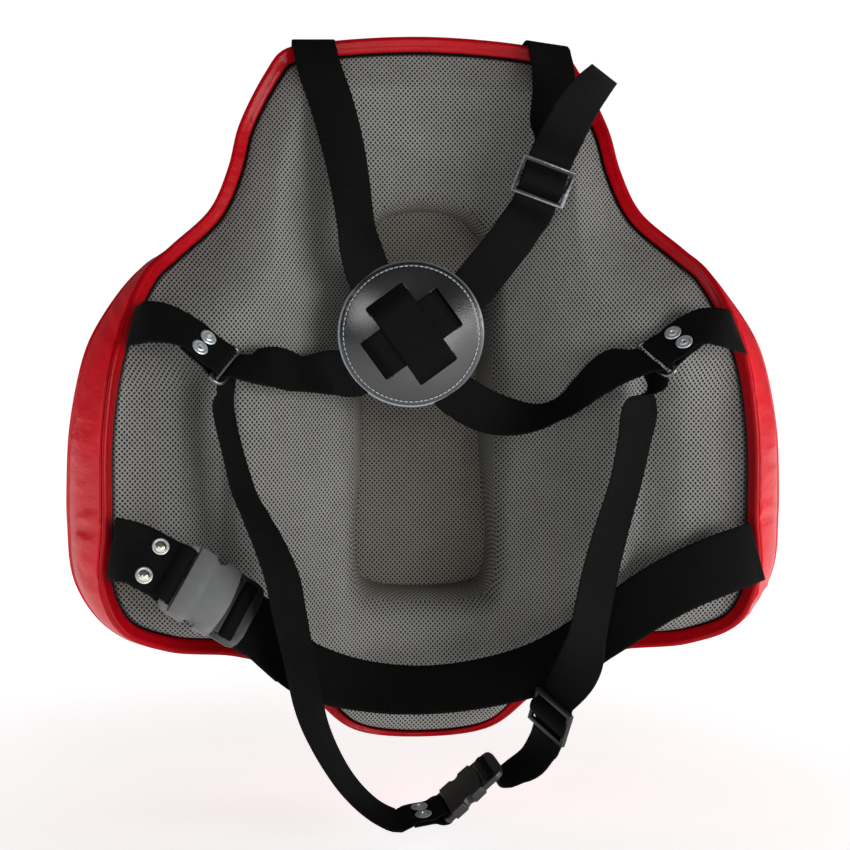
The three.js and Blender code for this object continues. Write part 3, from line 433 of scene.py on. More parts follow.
# Creases of the side wall: side, height, slant over the wall, depth, half width, and the shares of the wall
# where each begins and ends
CREASES = (
    (-1, 92, 10, 0.9, 2.6, 0.05, 0.75),
    (-1, 84, 14, -1.2, 3.0, 0.00, 0.85),
    (-1, 77, 12, 1.3, 2.8, 0.05, 0.80),
    (-1, 68, 16, -1.3, 3.4, 0.00, 0.60),
    (-1, 58, 8, 0.8, 4.0, 0.10, 0.80),
    (-1, 18, 5, -0.8, 3.6, 0.10, 0.80),
    (-1, 8, 5, 0.7, 3.0, 0.15, 0.75),
    (-1, -1, 3, -0.7, 3.0, 0.20, 0.80),
    (-1, -58, -7, 1.6, 3.2, 0.05, 0.75),
    (-1, -66, -9, -1.8, 3.4, 0.00, 0.80),
    (-1, -74, -6, 0.9, 4.0, 0.15, 0.80),
    (-1, -92, 8, -1.6, 4.0, 0.05, 0.60),
    (-1, -99, 8, 0.9, 3.4, 0.05, 0.60),
    (1, 74, -9, 0.9, 3.2, 0.00, 0.80),
    (1, 62, -9, -1.2, 3.0, 0.00, 0.70),
    (1, 36, 5, 1.0, 3.4, 0.05, 0.80),
    (1, 26, 7, -1.3, 3.2, 0.00, 0.75),
    (1, 14, 4, 1.0, 3.4, 0.10, 0.75),
    (1, -22, 3, -0.8, 4.0, 0.10, 0.80),
    (1, -54, -6, 1.3, 3.2, 0.00, 0.80),
    (1, -62, -6, -1.5, 3.2, 0.00, 0.70),
    (1, -98, 7, -1.4, 3.6, 0.00, 0.75),
    (1, -106, 7, 1.1, 3.2, 0.00, 0.75),
    (1, -116, 6, -1.0, 3.4, 0.00, 0.75),
)


SIDE_X = 150
PIPING_AT, PIPING_HIGH, PIPING_HALF = 0.945, 1.3, 0.028
STITCHED_AT, STITCHED_DEEP, STITCHED_HALF = 0.885, 0.7, 0.016
SEWN_AT, SEWN_DEEP, SEWN_HALF = 0.953, 0.9, 0.009


def wall_swell(share):
    """How far the side wall stands out at a share of its depth: its belly, its creases and its piping."""
    swell = (0.5 + flare / 10) * np.sin(np.pi * share)
    for side, height, slant, depth, half, start, end in CREASES:
        off = (crest[:, 2] - height - slant * (share - 0.5)) / (0.65 * half)
        shape = np.exp(-off * off) - 0.45 * np.exp(-(np.abs(off) - 1.9) ** 2)
        window = smooth(start - 0.12, start + 0.12, share) * (1 - smooth(end - 0.2, end, share))
        swell = swell + depth * shape * window * (crest[:, 0] * side > SIDE_X)
    piping = PIPING_HIGH * np.exp(-((share - PIPING_AT) / PIPING_HALF) ** 2)
    piping = piping - STITCHED_DEEP * np.exp(-((share - STITCHED_AT) / STITCHED_HALF) ** 2)
    return swell + piping


WALL_INSET, WALL_BEHIND = 0.8, BINDING_THICK + 0.4
wall_top = at_rim(WALL_INSET, WALL_BEHIND)
wall_rings = [mix(wall_top, seam_line, s) - inward * wall_swell(s)[:, None] for s in WALL_SHARES]
front_rings = []
for share in FRONT_SHARES:
    sewn = SEWN_DEEP * np.exp(-((share - SEWN_AT) / SEWN_HALF) ** 2)
    front_rings.append(np.stack([
        seam_line[:, 0] * share,
        mix(FRONT_CROWN, seam_line[:, 1], share ** CROWN_POWER) - sewn,
        mix(MIDDLE_Z, seam_line[:, 2], share),
    ], 1))
lined_seam = seam_line + inward * COVER_WALL - from_viewer * 1.5
inner_rings = [
    at_rim(WALL_INSET + COVER_WALL, WALL_BEHIND),
    mix(wall_top, seam_line, 0.5) + inward * COVER_WALL,
    lined_seam,
]
for share in BACK_SHARES:
    inner_rings.append(np.stack([
        lined_seam[:, 0] * share,
        mix(FRONT_CROWN - COVER_WALL, lined_seam[:, 1], share ** CROWN_POWER),
        mix(MIDDLE_Z, lined_seam[:, 2], share),
    ], 1))
cover_rings = np.array(front_rings[::-1] + wall_rings[::-1] + inner_rings)
cover = shell("cover_vinyl", cover_rings, np.array([0, FRONT_CROWN, MIDDLE_Z], float),
              np.array([0, FRONT_CROWN - COVER_WALL, MIDDLE_Z], float))


def vinyl(name, bright, deep):
    """Soft glossy vinyl: a fine leather grain, faint ripples, and slightly cloudy colour and gloss."""
    material, pen, feed = new_finish(name, Specular_IOR_Level=0.1, Coat_Weight=0.06, Coat_Roughness=0.08)
    place = object_place(pen)
    cloud = noise(pen, place, 14.0, 4.0)
    feed("Base Color", cloud.rise(0.3, 0.7).colours(deep, bright))
    grain_sockets = {"Vector": place, "Scale": 1100.0, "Smoothness": 0.6}
    grain = pen.node("ShaderNodeTexVoronoi", {"feature": "SMOOTH_F1"}, grain_sockets)
    stretched = pen.node("ShaderNodeMapping", {}, {"Vector": place, "Scale": (1.0, 1.0, 2.4)})
    ripple = noise(pen, stretched, 55.0, 2.0)
    feed("Roughness", 0.24 + cloud * 0.16 + grain * 0.08)
    feed("Normal", bumped(pen, ripple * 0.92 + grain * 0.08, 1.6 * MM, 0.5))
    return material


cover.data.materials.append(vinyl("red_vinyl", rgb(206, 0, 24), rgb(186, 0, 19)))
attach(cover, "root")
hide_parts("cover")


# Edge binding
# A strip of the same red vinyl folded over the rim and sewn flat, so that a crease runs along the middle
# of the roll. It gathers in small puckers round the tight corners.
SECTION_POINTS = 22
BEND_EASINGS = 8
PUCKER_DEPTH = 0.45
# Crease and lobe of the roll: depth, place over the width, half width
CREASE = (1.0, 0.47, 0.08)
LOBE = (0.5, 0.22, 0.15)
section_turn = np.linspace(0, 2 * np.pi, SECTION_POINTS, endpoint=False)
bend = np.linalg.norm(np.roll(rim_run, -2, 0) - np.roll(rim_run, 2, 0), axis=1)
for turn in range(BEND_EASINGS):
    bend = (np.roll(bend, 1) + 2 * bend + np.roll(bend, -1)) / 4
rim_length = np.cumsum(np.linalg.norm(crest - np.roll(crest, 1, 0), axis=1))
gathers = np.sin(rim_length / 2.1 + 1.7 * np.sin(rim_length / 31))
pucker = np.clip(bend / 0.5, 0.12, 1) * gathers * PUCKER_DEPTH
binding_sections = []
for turn in section_turn:
    side = math.copysign(abs(math.cos(turn)) ** 0.75, math.cos(turn))
    height = math.copysign(abs(math.sin(turn)) ** 0.6, math.sin(turn))
    along_rim = binding_width[:, None] / 2 * (1 - side)
    facing = max(-height, 0)
    across_rim = (1 - side) / 2
    crease, lobe = (
        deep * math.exp(-((across_rim - middle) / half) ** 2) * facing
        for deep, middle, half in (CREASE, LOBE)
    )
    depth = BINDING_THICK / 2 * (1 + height) + crease - lobe + pucker[:, None] * facing * across_rim
    binding_sections.append(crest + rim_along * along_rim + rim_behind * depth)
binding_points = np.array(binding_sections).transpose(1, 0, 2).reshape(-1, 3)


def tube_faces(sections, sides, closed):
    """Quads between the sections of a tube, each a closed loop of so many points."""
    low = np.arange(sections if closed else sections - 1)[:, None] * sides
    k = np.arange(sides)
    here, beside = low + k, low + (k + 1) % sides
    over, far = (here + sides) % (sections * sides), (beside + sides) % (sections * sides)
    return np.stack([here, beside, far, over], -1).reshape(-1, 4)


binding = mesh_piece("rim_binding", binding_points, [tube_faces(RIM_COUNT, SECTION_POINTS, True)])
# The binding is the cover's vinyl; its darker red is painted shade on the rim
binding.data.materials.append(vinyl("red_binding_painted_shade", rgb(166, 0, 14), rgb(142, 0, 10)))
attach(binding, "root")
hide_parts("edge_binding")


# Webbing straps and tabs
# Black ribbed polyester webbing, 30 mm wide on the harness and 40 mm at the waist, 1.6 mm thick with firm
# selvedges. It is threaded through the plate, rings, sliders and buckles, and sewn under the rim.
WEB = 1.6
PLY = WEB + 0.9
GAP = 0.4
STRAP_WIDTH = 30
WAIST_WIDTH = 40
WEB_STEP = 3.0
# Strap routes: x, y, z along the middle of the webbing, turn of its width in the picture plane,
# and lean of its width away from the viewer
ROUTES = {
    "left shoulder": (
        (-77, 30, 266.2, 0, 0), (-77, 14, 266.8, 0, 0), (-77, 6, 266.4, 1, 0), (-77, 1, 263.6, 3, 0),
        (-76, -3.5, 257.5, 6, 0), (-73, -11, 244, 11, 0), (-66, -19, 222, 14, 2),
        (-59, -28, 194, 15, 14),
        (-54, -37, 166, 14, 26), (-50, -46, 136, 14, 32), (-46.5, -50, 118, 24, 16),
    ),
    "right side": (
        (34, -51, 13, 60, 10), (53, -52, 8, 78, 34), (72, -54, 8, 88, 58), (86, -58, 14, 104, 68),
        (98, -67, 25, 120, 60), (109, -77, 36, 122, 50), (119, -86, 42, 122, 48),
    ),
    "right drop": (
        (134, -90, 16, 8, 28), (129.5, -91, -6, 8, 31), (124, -92, -32, 14, 32),
        (114, -94, -65, 15, 28),
        (107, -96, -90, 13, 26), (102, -98, -112, 12, 24), (97, -98, -136, 4, 18),
        (91, -99, -155, -18, -14),
    ),
    "right loop": ((71, -81, -209, -42, -56), (64.5, -80, -219, -58, -60), (54.5, -80, -225.5, -70, -68)),
    "tail": (
        (112, -73, 234, -46, 46), (104, -69, 225, -42, 34), (96, -65, 214, -34, 22),
        (88, -58, 198, -24, 12),
    ),
    "right lower": ((63, -46, 140, -30, 0), (50, -48, 122, -36, 0)),
    "left side": (
        (-66, -50, 38, -82, -4), (-75, -54.5, 37, -88, -30), (-83, -60, 37, -96, -46),
        (-95, -68, 40, -102, -36),
        (-107, -79, 42, -98, -38),
    ),
    "left drop": (
        (-137.5, -86, 20, 186, -66), (-136.5, -88, 10, 178, -65), (-134, -89, -2, 174, -65),
        (-130, -90, -18, 168, -63), (-124.5, -91, -38, 160, -56),
        (-117, -93, -54, 156, -46), (-107.5, -95, -74, 156, -38), (-100, -97, -94, 164, -39),
        (-96, -98, -114, 170, -43),
        (-92, -98, -134, 172, -46), (-88, -101, -152, 180, -48), (-84, -101, -172, 190, -52),
        (-78, -97, -192, 200, -60),
        (-69, -93, -212, 209, -66), (-58, -90, -230, 220, -70), (-46, -90, -243, 233, -73),
        (-36, -91, -250, 247, -75),
        (-26, -92, -253.5, 261, -76),
    ),
    "anchor": (
        (86, 30, 266, -8, 0), (86, 14, 266.6, -8, 0), (86, 5, 266, -8, 0), (86.5, 0, 263, -8, 0),
        (87, -4.5, 256.5, -6, 0), (88, -11, 246, -3, 0), (87, -20, 228, -2, 0), (84, -29, 206, -10, 0),
    ),
    "left tab": (
        (-196, -80, 68, 66, 6), (-190, -88, 70.5, 72, 12), (-179, -93.5, 71, 66, 26),
        (-169, -93.5, 69, 60, 40),
    ),
    "right tab": (
        (201, -83, 62, 118, 6), (195, -90, 65.5, 110, 12), (185, -93.5, 68, 112, 26),
        (177, -92.5, 69, 122, 40),
    ),
    "waist tab": ((-209, -89, -73, 84, 0), (-201, -93.5, -74.5, 78, 8)),
    "waist": (
        (213, -88.5, -80, 100, 0), (203, -91.5, -83, 104, 4), (186, -91, -89, 110, 14),
        (163, -87, -99.5, 116, 24),
        (144, -82, -111, 118, 30), (127, -77, -123.5, 118, 34), (111, -72, -135.5, 116, 38),
        (92, -68, -149, 112, 40),
        (69, -64, -161, 104, 42), (45, -62, -168, 98, 46), (18, -62, -172.5, 92, 48),
        (-6, -62, -174, 89, 48),
        (-29, -62, -173, 86, 46), (-52, -64, -169, 80, 43), (-72, -69, -162.5, 72, 38),
        (-88, -74, -154, 64, 36),
    ),
}


def width_direction(turn, lean):
    t, l = math.radians(turn), math.radians(lean)
    return np.array([math.cos(t) * math.cos(l), math.sin(l), math.sin(t) * math.cos(l)])


class Seat:
    """Where a piece of hardware lies: its middle, the ways along and across it, and out of its face."""

    def __init__(self, at, along, turn, lean):
        self.at = np.array(at, float)
        self.across = width_direction(turn, lean)
        along = np.array(along, float)
        self.along = unit(along - self.across * along.dot(self.across))
        face = np.cross(self.along, self.across)
        self.face = -face if face[1] > 0 else face

    def point(self, along, face, across=0.0):
        return self.at + self.along * along + self.face * face + self.across * across


def stop(p, across, skewed=0.0, squeeze=1.0):
    """A station of a strap: its middle, its width's way, its slant on a bar, its share of the width."""
    return {"p": np.array(p, float), "across": across, "skewed": skewed, "squeeze": squeeze}


def route(name):
    return [stop(row[:3], width_direction(*row[3:])) for row in ROUTES[name]]


def run_in(seat, rows):
    return [stop(seat.point(along, face), seat.across) for along, face in rows]


def loop_round(front, seat, radius, straight):
    """Webbing that comes to a bar on the viewer's side and turns round it to run back under itself."""
    r, p = radius, PLY / 2
    bend = [
        (-straight, p), (-10, p), (-7, p + 0.4), (-4, r - 0.4), (0, r), (r * 0.71, r * 0.71), (r, 0),
        (r * 0.71, -r * 0.71), (0, -r), (-4, 0.4 - r), (-7, -p - 0.4), (-10, -p), (-straight, -p),
    ]
    return front + run_in(seat, bend)


def strap_samples(stations, step):
    """Middle points, width and face directions, and squeeze along a strap."""
    points = np.array([s["p"] for s in stations])
    across = [stations[0]["across"]]
    for s in stations[1:]:
        across.append(s["across"] if s["across"].dot(across[-1]) >= 0 else -s["across"])
    across = np.array(across)
    spans = np.linalg.norm(np.diff(points, axis=0), axis=1)
    counts = np.maximum(2, np.round(spans / step).astype(int))
    p, t, steps = curve_through(points, counts, False)
    low = np.minimum(steps.astype(int), len(stations) - 2)
    f = (steps - low)[:, None]
    padded = np.vstack([across[:1], across, across[-1:]])
    a0, a1, a2, a3 = (padded[low + k] for k in range(4))
    m1, m2 = (a2 - a0) / 2, (a3 - a1) / 2
    a = a1 + m1 * f + (3 * (a2 - a1) - 2 * m1 - m2) * f ** 2 + (2 * (a1 - a2) + m1 + m2) * f ** 3
    skewed = np.interp(steps, np.arange(len(stations)), [s["skewed"] for s in stations])
    squeeze = np.interp(steps, np.arange(len(stations)), [s["squeeze"] for s in stations])
    a = unit(a + t * ((skewed - 1) * (a * t).sum(1))[:, None])
    return p, a, unit(np.cross(t, a)), squeeze


WEB_COLUMNS = np.array([-1, -0.965, -0.9, -0.6, -0.3, 0, 0.3, 0.6, 0.9, 0.965, 1])
WEB_HEIGHTS = np.array([0.25, 0.8, 1, 1, 1, 1, 1, 1, 1, 0.8, 0.25])


def webbing(name, samples, width):
    """A strap's solid, with firm rounded selvedges and its length and width as UVs."""
    p, a, n, squeeze = samples
    u = np.concatenate([WEB_COLUMNS, WEB_COLUMNS[::-1]])
    v = np.concatenate([WEB_HEIGHTS, -WEB_HEIGHTS[::-1]])
    reach = u[None, :] * (squeeze * width / 2)[:, None]
    points = p[:, None] + a[:, None] * reach[..., None] + n[:, None] * (v * WEB / 2)[None, :, None]
    length = np.append(0, np.cumsum(np.linalg.norm(np.diff(p, axis=0), axis=1)))
    sides = len(u)
    sheet_across = np.tile(u * width / 2, (len(p), 1))
    sheet_along = np.tile(length[:, None], (1, sides))
    sheet = np.stack([sheet_across, sheet_along], -1).reshape(-1, 2)
    last = (len(p) - 1) * sides
    ends = []
    for k in range(len(WEB_COLUMNS) - 1):
        far = sides - 1 - k
        ends.append((k + 1, k, far, far - 1))
        ends.append((last + k, last + k + 1, last + far - 1, last + far))
    groups = [tube_faces(len(p), sides, False), np.array(ends)]
    strap = mesh_piece(name, points.reshape(-1, 3), groups, [sheet, sheet])
    return strap, length[-1]


PLATE_AT = (-13.8, -55, 63.6)
PLATE_TURN = -54
PLATE_THICK = 3.5
plate_cos, plate_sin = math.cos(math.radians(PLATE_TURN)), math.sin(math.radians(PLATE_TURN))
over_seat = Seat(PLATE_AT, (plate_cos, 0, plate_sin), PLATE_TURN + 90, 0)
under_seat = Seat(PLATE_AT, (plate_sin, 0, -plate_cos), PLATE_TURN, 0)


def across_plate(seat, height):
    """How the webbing dips through a slot, lies over the plate and leaves by the far slot."""
    rise = [
        (-46, -4.6), (-34.5, -3.9), (-31.6, -2.9), (-28, 0), (-24.6, 2.7),
        (-20.5, height - 0.35), (-15.8, height),
    ]
    return run_in(seat, rise + [(-u, v) for u, v in rise[::-1]])


under_height = PLATE_THICK / 2 + GAP + WEB / 2
over_height = under_height + WEB + GAP
RING_WIRE = 1.5
RING_DEPTH = 8.6
RING_BAR = 34
WIRE_TURN = RING_WIRE + GAP + WEB / 2
RING_SPOTS = {
    "left": {
        "at": (-138, -90, 46), "hang": (0.62, 0, -0.78), "tab": (0.85, 0.25, -0.5),
        "turn": 52, "lean": 50,
    },
    "right": {
        "at": (146, -91, 50), "hang": (-0.67, 0, -0.75), "tab": (-0.92, 0.2, -0.38),
        "turn": 132, "lean": 50,
    },
}
ring_seats = {side: Seat(s["at"], s["hang"], s["turn"], s["lean"]) for side, s in RING_SPOTS.items()}
tab_seats = {side: Seat(s["at"], s["tab"], s["turn"], s["lean"]) for side, s in RING_SPOTS.items()}


def turn_on_ring(seat, skew):
    """The webbing comes over the ring's far bar on the viewer's side, turns in it and leaves behind."""
    radius = WIRE_TURN
    lead = 6
    places, runs = [], []
    for k in range(5):
        angle = math.radians(60) * (1 - k / 2)
        c, s = math.cos(angle), math.sin(angle)
        places.append(seat.point(RING_DEPTH - radius * c, radius * s, -skew * radius * angle))
        runs.append(unit(-seat.along * s - seat.face * c + seat.across * skew))
    places = [places[0] - lead * runs[0]] + places + [places[-1] + lead * runs[-1]]
    return [stop(p, seat.across, 1.0, 0.97) for p in places]


shoulder_seat = Seat((76, -43, 166), (0.38, -0.1, 0.92), -20, 0)
loop_slider_seat = Seat((74.5, -91, -187.5), (0.31, -0.5, 0.95), -38, -52)
through_shoulder = run_in(shoulder_seat, [
    (20, -1.6), (14, -2.7), (10.5, -2.6), (7.2, -0.4), (4.6, 2.6), (0.6, 4.1), (-2.2, 4.3),
    (-5, 3.4), (-7.2, 0.6),
    (-9.6, -2.0), (-12.5, -2.8), (-19, -2.0),
])
on_middle_bar = run_in(shoulder_seat, [
    (26, -4.6), (16, -5.2), (10.5, -5.2), (5, -3.6), (1, -2.4), (-2.2, -2.4), (-5.2, -1.7),
    (-6.3, 0), (-5.2, 1.7),
    (-2.2, 2.2), (0.6, 2.0),
])
through_loop = run_in(loop_slider_seat, [
    (15, -2.8), (10.5, -3.2), (7.6, -2.4), (5.6, 0), (3.4, 2.4), (0, 3.2), (-3.4, 2.4), (-5.6, 0),
    (-7.6, -2.4),
    (-10.5, -3.2), (-15, -2.4),
])
LOOP_SPREAD = 1.18
for station in through_loop[2:-2]:
    station["squeeze"] = LOOP_SPREAD
BAR_TURN = 3.5 + WEB / 2
MALE_BAR = 45.5


def up_through(front, seat, size, straight, back):
    """Webbing that comes in behind a ladder's end rail, turns over its bar and runs back behind itself."""
    bend = [
        (straight, -3.2), (10.5, -3.8), (8.2, -3.2), (6.3, -0.6), (5.2, 1.6), (3.4, 3.2), (0, 3.7),
        (-2.6, 2.9), (-3.7, 0),
        (-2.6, -2.9), (0, -3.9),
    ]
    bend += [(u, v) for u, v in ((4, -5.5), (8, -6.3), (20, -5.8)) if u <= back]
    return front + run_in(seat, [(u * size, v) for u, v in bend])


WAIST_SIZE = 1.0
LOOP_SIZE = 0.84
waist_seat = Seat((-168, -93.5, -90.5), (0.83, 0.1, -0.55), 60, 26)
waist_first = Seat(waist_seat.at, (0.85, 0, -0.42), 60, 26)
waist_last = Seat(waist_seat.point(MALE_BAR * WAIST_SIZE, 0), (0.83, 0.2, -0.52), 60, 26)
loop_seat = Seat((4, -86, -249), (0.752, 0, 0.659), 135, 79)
loop_first = Seat(loop_seat.at, (1, 0, 0.12), 135, 79)
loop_last = Seat(loop_seat.point(MALE_BAR * LOOP_SIZE, 0), (0.96, 0.2, -0.24), 135, 79)

waist_run = route("waist")
waist_stations = up_through(waist_run, waist_last, WAIST_SIZE, 20, 20)
waist_p, waist_a, waist_n, waist_squeeze = strap_samples(waist_stations, WEB_STEP)
fold_start = np.argmin(np.linalg.norm(waist_p - waist_stations[len(waist_run)]["p"], axis=1))
fold_way = unit(waist_p[-1] - waist_p[fold_start])
SECOND_PLY_STEPS = 10
second = np.arange(fold_start - 1, fold_start - 1 - SECOND_PLY_STEPS, -1)
second_way = np.sign(waist_n[second] @ fold_way)[:, None] * waist_n[second]
waist_samples = (
    np.vstack([waist_p, waist_p[second] + second_way * PLY]),
    np.vstack([waist_a, waist_a[second]]),
    np.vstack([waist_n, -waist_n[second]]),
    np.append(waist_squeeze, waist_squeeze[second] * 0.97),
)
left_to_loop = route("left shoulder") + across_plate(over_seat, over_height) + route("right side")
left_to_loop += turn_on_ring(ring_seats["right"], -0.5) + route("right drop")
left_to_loop += through_loop + route("right loop")
right_to_loop = route("tail") + through_shoulder + route("right lower")
right_to_loop += across_plate(under_seat, under_height) + route("left side")
right_to_loop += turn_on_ring(ring_seats["left"], -0.7) + route("left drop")
harness_stations = {
    "cross_strap_left": up_through(left_to_loop, loop_last, LOOP_SIZE, 16, 0),
    "cross_strap_right": loop_round(right_to_loop, loop_first, BAR_TURN * LOOP_SIZE, 22),
    "shoulder_anchor_strap": route("anchor") + on_middle_bar,
    "side_tab_left": loop_round(route("left tab"), tab_seats["left"], WIRE_TURN, 26),
    "side_tab_right": loop_round(route("right tab"), tab_seats["right"], WIRE_TURN, 26),
}
waist_tab_stations = loop_round(route("waist tab"), waist_first, BAR_TURN, 27)
# Each length of webbing: its node, its samples, its width
webbing_lengths = []
for node, stations in harness_stations.items():
    webbing_lengths.append((node, strap_samples(stations, WEB_STEP), STRAP_WIDTH))
webbing_lengths.append(("waist_tab", strap_samples(waist_tab_stations, WEB_STEP), WAIST_WIDTH))
webbing_lengths.append(("waist_strap", waist_samples, WAIST_WIDTH))
RIB_PITCH = 1.5 * MM
WARP_PITCH = 1.1 * MM
webbing_finish, pen, feed = new_finish("webbing", Specular_IOR_Level=0.1)
across, along = cloth_axes(pen)
place = object_place(pen)
fibre = noise(pen, place, 1500.0, 2.0)
rib = (along * (1 / RIB_PITCH) + (fibre - 0.5) * 0.2).wave() * 0.5 + 0.5
warp = (across * (1 / WARP_PITCH) + rib * 0.3).wave() * 0.5 + 0.5
worn = noise(pen, place, 22.0, 3.0)
weave = rib * 0.7 + warp * 0.3
lit = (weave * 0.7 + worn * 0.5 - 0.2).rise(0.1, 0.9)
feed("Base Color", lit.colours(rgb(2, 2, 2), rgb(10, 10, 9)))
feed("Roughness", 0.62 + worn * 0.25)
feed("Normal", bumped(pen, weave, 0.28 * MM, 0.9))
for node, samples, width in webbing_lengths:
    strap, length = webbing(node + "_webbing", samples, width)
    strap.data.materials.append(webbing_finish)
    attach(strap, "root")
    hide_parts(node)
    width * MM


# Back plate
# A round plate of thick glossy black leather, 98 mm across, cut with four slots for the crossing straps.
# A row of pale stitches runs just inside its trimmed edge, which carries a painted highlight: a pale band
# all round, brightest towards the lower left.
PLATE_RADIUS = 49
SLOT_AT, SLOT_LONG, SLOT_WIDE = 28, 31.4, 7.4


def alone(obj):
    """One object selected and active, and no other."""
    if bpy.context.mode != "OBJECT":
        bpy.ops.object.mode_set(mode="OBJECT")
    bpy.ops.object.select_all(action="DESELECT")
    obj.select_set(True)
    bpy.context.view_layer.objects.active = obj


def choose(obj, faces=None, edges=None):
    """Edit mode on one object alone, with the faces or edges that a test picks."""
    alone(obj)
    bpy.ops.object.mode_set(mode="EDIT")
    bpy.ops.mesh.select_mode(type="FACE" if faces else "EDGE")
    bpy.ops.mesh.select_all(action="DESELECT")
    bpy.ops.object.mode_set(mode="OBJECT")
    for face in obj.data.polygons if faces else ():
        face.select = faces(face)
    for edge in obj.data.edges if edges else ():
        edge.select = edges(edge)
    bpy.ops.object.mode_set(mode="EDIT")


def edge_rise(obj, edge):
    """How far an edge climbs between its two ends."""
    low, high = (obj.data.vertices[k].co.z for k in edge.vertices)
    return abs(high - low)


def settle(obj, angle=35):
    """Out of edit mode, with smooth faces up to an angle."""
    alone(obj)
    bpy.ops.object.shade_smooth_by_angle(angle=math.radians(angle))


def apply_modifier(obj, kind, **settings):
    made = obj.modifiers.new(kind.lower(), kind)
    for name, value in settings.items():
        setattr(made, name, value)
    alone(obj)
    bpy.ops.object.modifier_apply(modifier=made.name)


def place_in(obj, seat):
    """Moves a piece modelled at the origin, x across, y along and z out of its face, to its seat."""
    across = np.cross(seat.along, seat.face)
    rows = np.array([across, seat.along, seat.face, seat.at * MM]).T
    obj.data.transform(Matrix([list(row) for row in rows] + [[0, 0, 0, 1]]))
    obj.data.update()


bpy.ops.mesh.primitive_cylinder_add(vertices=128, radius=PLATE_RADIUS * MM, depth=PLATE_THICK * MM)
plate = bpy.context.object
plate.name = "leather_plate"
choose(plate, edges=lambda e: edge_rise(plate, e) < 1e-6)
bpy.ops.mesh.bevel(offset=0.9 * MM, segments=4, affect="EDGES")
bpy.ops.object.mode_set(mode="OBJECT")
cutters = []
for quarter in range(4):
    bpy.ops.object.select_all(action="DESELECT")
    bpy.ops.mesh.primitive_cube_add(size=1)
    cutter = bpy.context.object
    cutter.scale = (SLOT_WIDE * MM, SLOT_LONG * MM, 20 * MM)
    bpy.ops.object.transform_apply(location=False, rotation=False, scale=True)
    choose(cutter, edges=lambda e: edge_rise(cutter, e) > 1e-3)
    bpy.ops.mesh.bevel(offset=2.2 * MM, segments=5, affect="EDGES")
    bpy.ops.object.mode_set(mode="OBJECT")
    cutter.data.transform(Matrix.Translation((SLOT_AT * MM, 0, 0)))
    cutter.data.transform(Matrix.Rotation(math.radians(PLATE_TURN + 90 * quarter), 4, "Z"))
    cutters.append(cutter)
for cutter in cutters:
    apply_modifier(plate, "BOOLEAN", operation="DIFFERENCE", object=cutter, solver="EXACT")
    bpy.data.objects.remove(cutter)
apply_modifier(
    plate, "BEVEL", width=0.5 * MM, segments=2, limit_method="ANGLE", angle_limit=math.radians(50))
choose(plate, faces=lambda f: True)
bpy.ops.mesh.quads_convert_to_tris(quad_method="BEAUTY", ngon_method="BEAUTY")
PLATE_BEND = 2.4
PLATE_STRIPS = range(-45, 46, 5)
for strip in PLATE_STRIPS:
    choose(plate, faces=lambda f: True)
    cut_at = (strip * MM * plate_cos, strip * MM * plate_sin, 0)
    bpy.ops.mesh.bisect(plane_co=cut_at, plane_no=(plate_cos, plate_sin, 0))
    bpy.ops.mesh.select_all(action="SELECT")
    cross_cut_at = (-strip * MM * plate_sin, strip * MM * plate_cos, 0)
    bpy.ops.mesh.bisect(plane_co=cross_cut_at, plane_no=(-plate_sin, plate_cos, 0))
    bpy.ops.object.mode_set(mode="OBJECT")


def bow(obj):
    """Draws the plate back at both ends of the upper strap, and at one end of the lower one."""
    points = np.array([v.co[:] for v in obj.data.vertices])
    over = points[:, 0] * plate_cos + points[:, 1] * plate_sin
    under = points[:, 1] * plate_cos - points[:, 0] * plate_sin
    points[:, 2] -= PLATE_BEND * over ** 2
    points[:, 2] -= PLATE_BEND * np.minimum(under, 0) ** 2
    obj.data.vertices.foreach_set("co", points.reshape(-1))
    obj.data.update()


bow(plate)
settle(plate, 14)
plate_seat = Seat(PLATE_AT, (0, 0, 1), 0, 0)
place_in(plate, plate_seat)
leather, pen, feed = new_finish("plate_leather", Specular_IOR_Level=0.8)
place = object_place(pen)
plate_centre = tuple(-c * MM for c in PLATE_AT)
centred = pen.node("ShaderNodeMapping", {}, {"Vector": place, "Location": plate_centre})
flat = pen.node("ShaderNodeVectorMath", {"operation": "MULTIPLY"}, {0: centred, 1: (1.0, 0.0, 1.0)})
radius = pen.node("ShaderNodeVectorMath", {"operation": "LENGTH"}, {0: flat}, 1)
pebble_sockets = {"Vector": place, "Scale": 900.0, "Smoothness": 0.5}
pebble = pen.node("ShaderNodeTexVoronoi", {"feature": "SMOOTH_F1"}, pebble_sockets)
cloud = noise(pen, place, 34.0, 3.0)
low_left = {0: centred, 1: (-0.7, 0.0, -0.7)}
towards_low_left = pen.node("ShaderNodeVectorMath", {"operation": "DOT_PRODUCT"}, low_left, 1)
# Painted highlight on the edge: a pale band all round, much stronger towards the lower left
painted_edge_highlight = radius.rise(47.4 * MM, 48.3 * MM) * (0.3 + towards_low_left.rise(-6 * MM, 36 * MM) * 0.7)
body = cloud.rise(0.3, 0.72).colours(rgb(3, 3, 4), rgb(7, 7, 8))
feed("Base Color", painted_edge_highlight.colours(body, rgb(138, 150, 160)))
feed("Roughness", 0.15 + cloud * 0.1 + painted_edge_highlight * 0.3)
seat_groove = radius.rise(44.4 * MM, 45.0 * MM) * (1 - radius.rise(45.6 * MM, 46.2 * MM))
feed("Normal", bumped(pen, cloud * 0.12 + pebble * 0.05 + (1 - seat_groove) * 0.3, 1.0 * MM, 0.4))
plate.data.materials.append(leather)
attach(plate, "root")
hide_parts("back_plate")

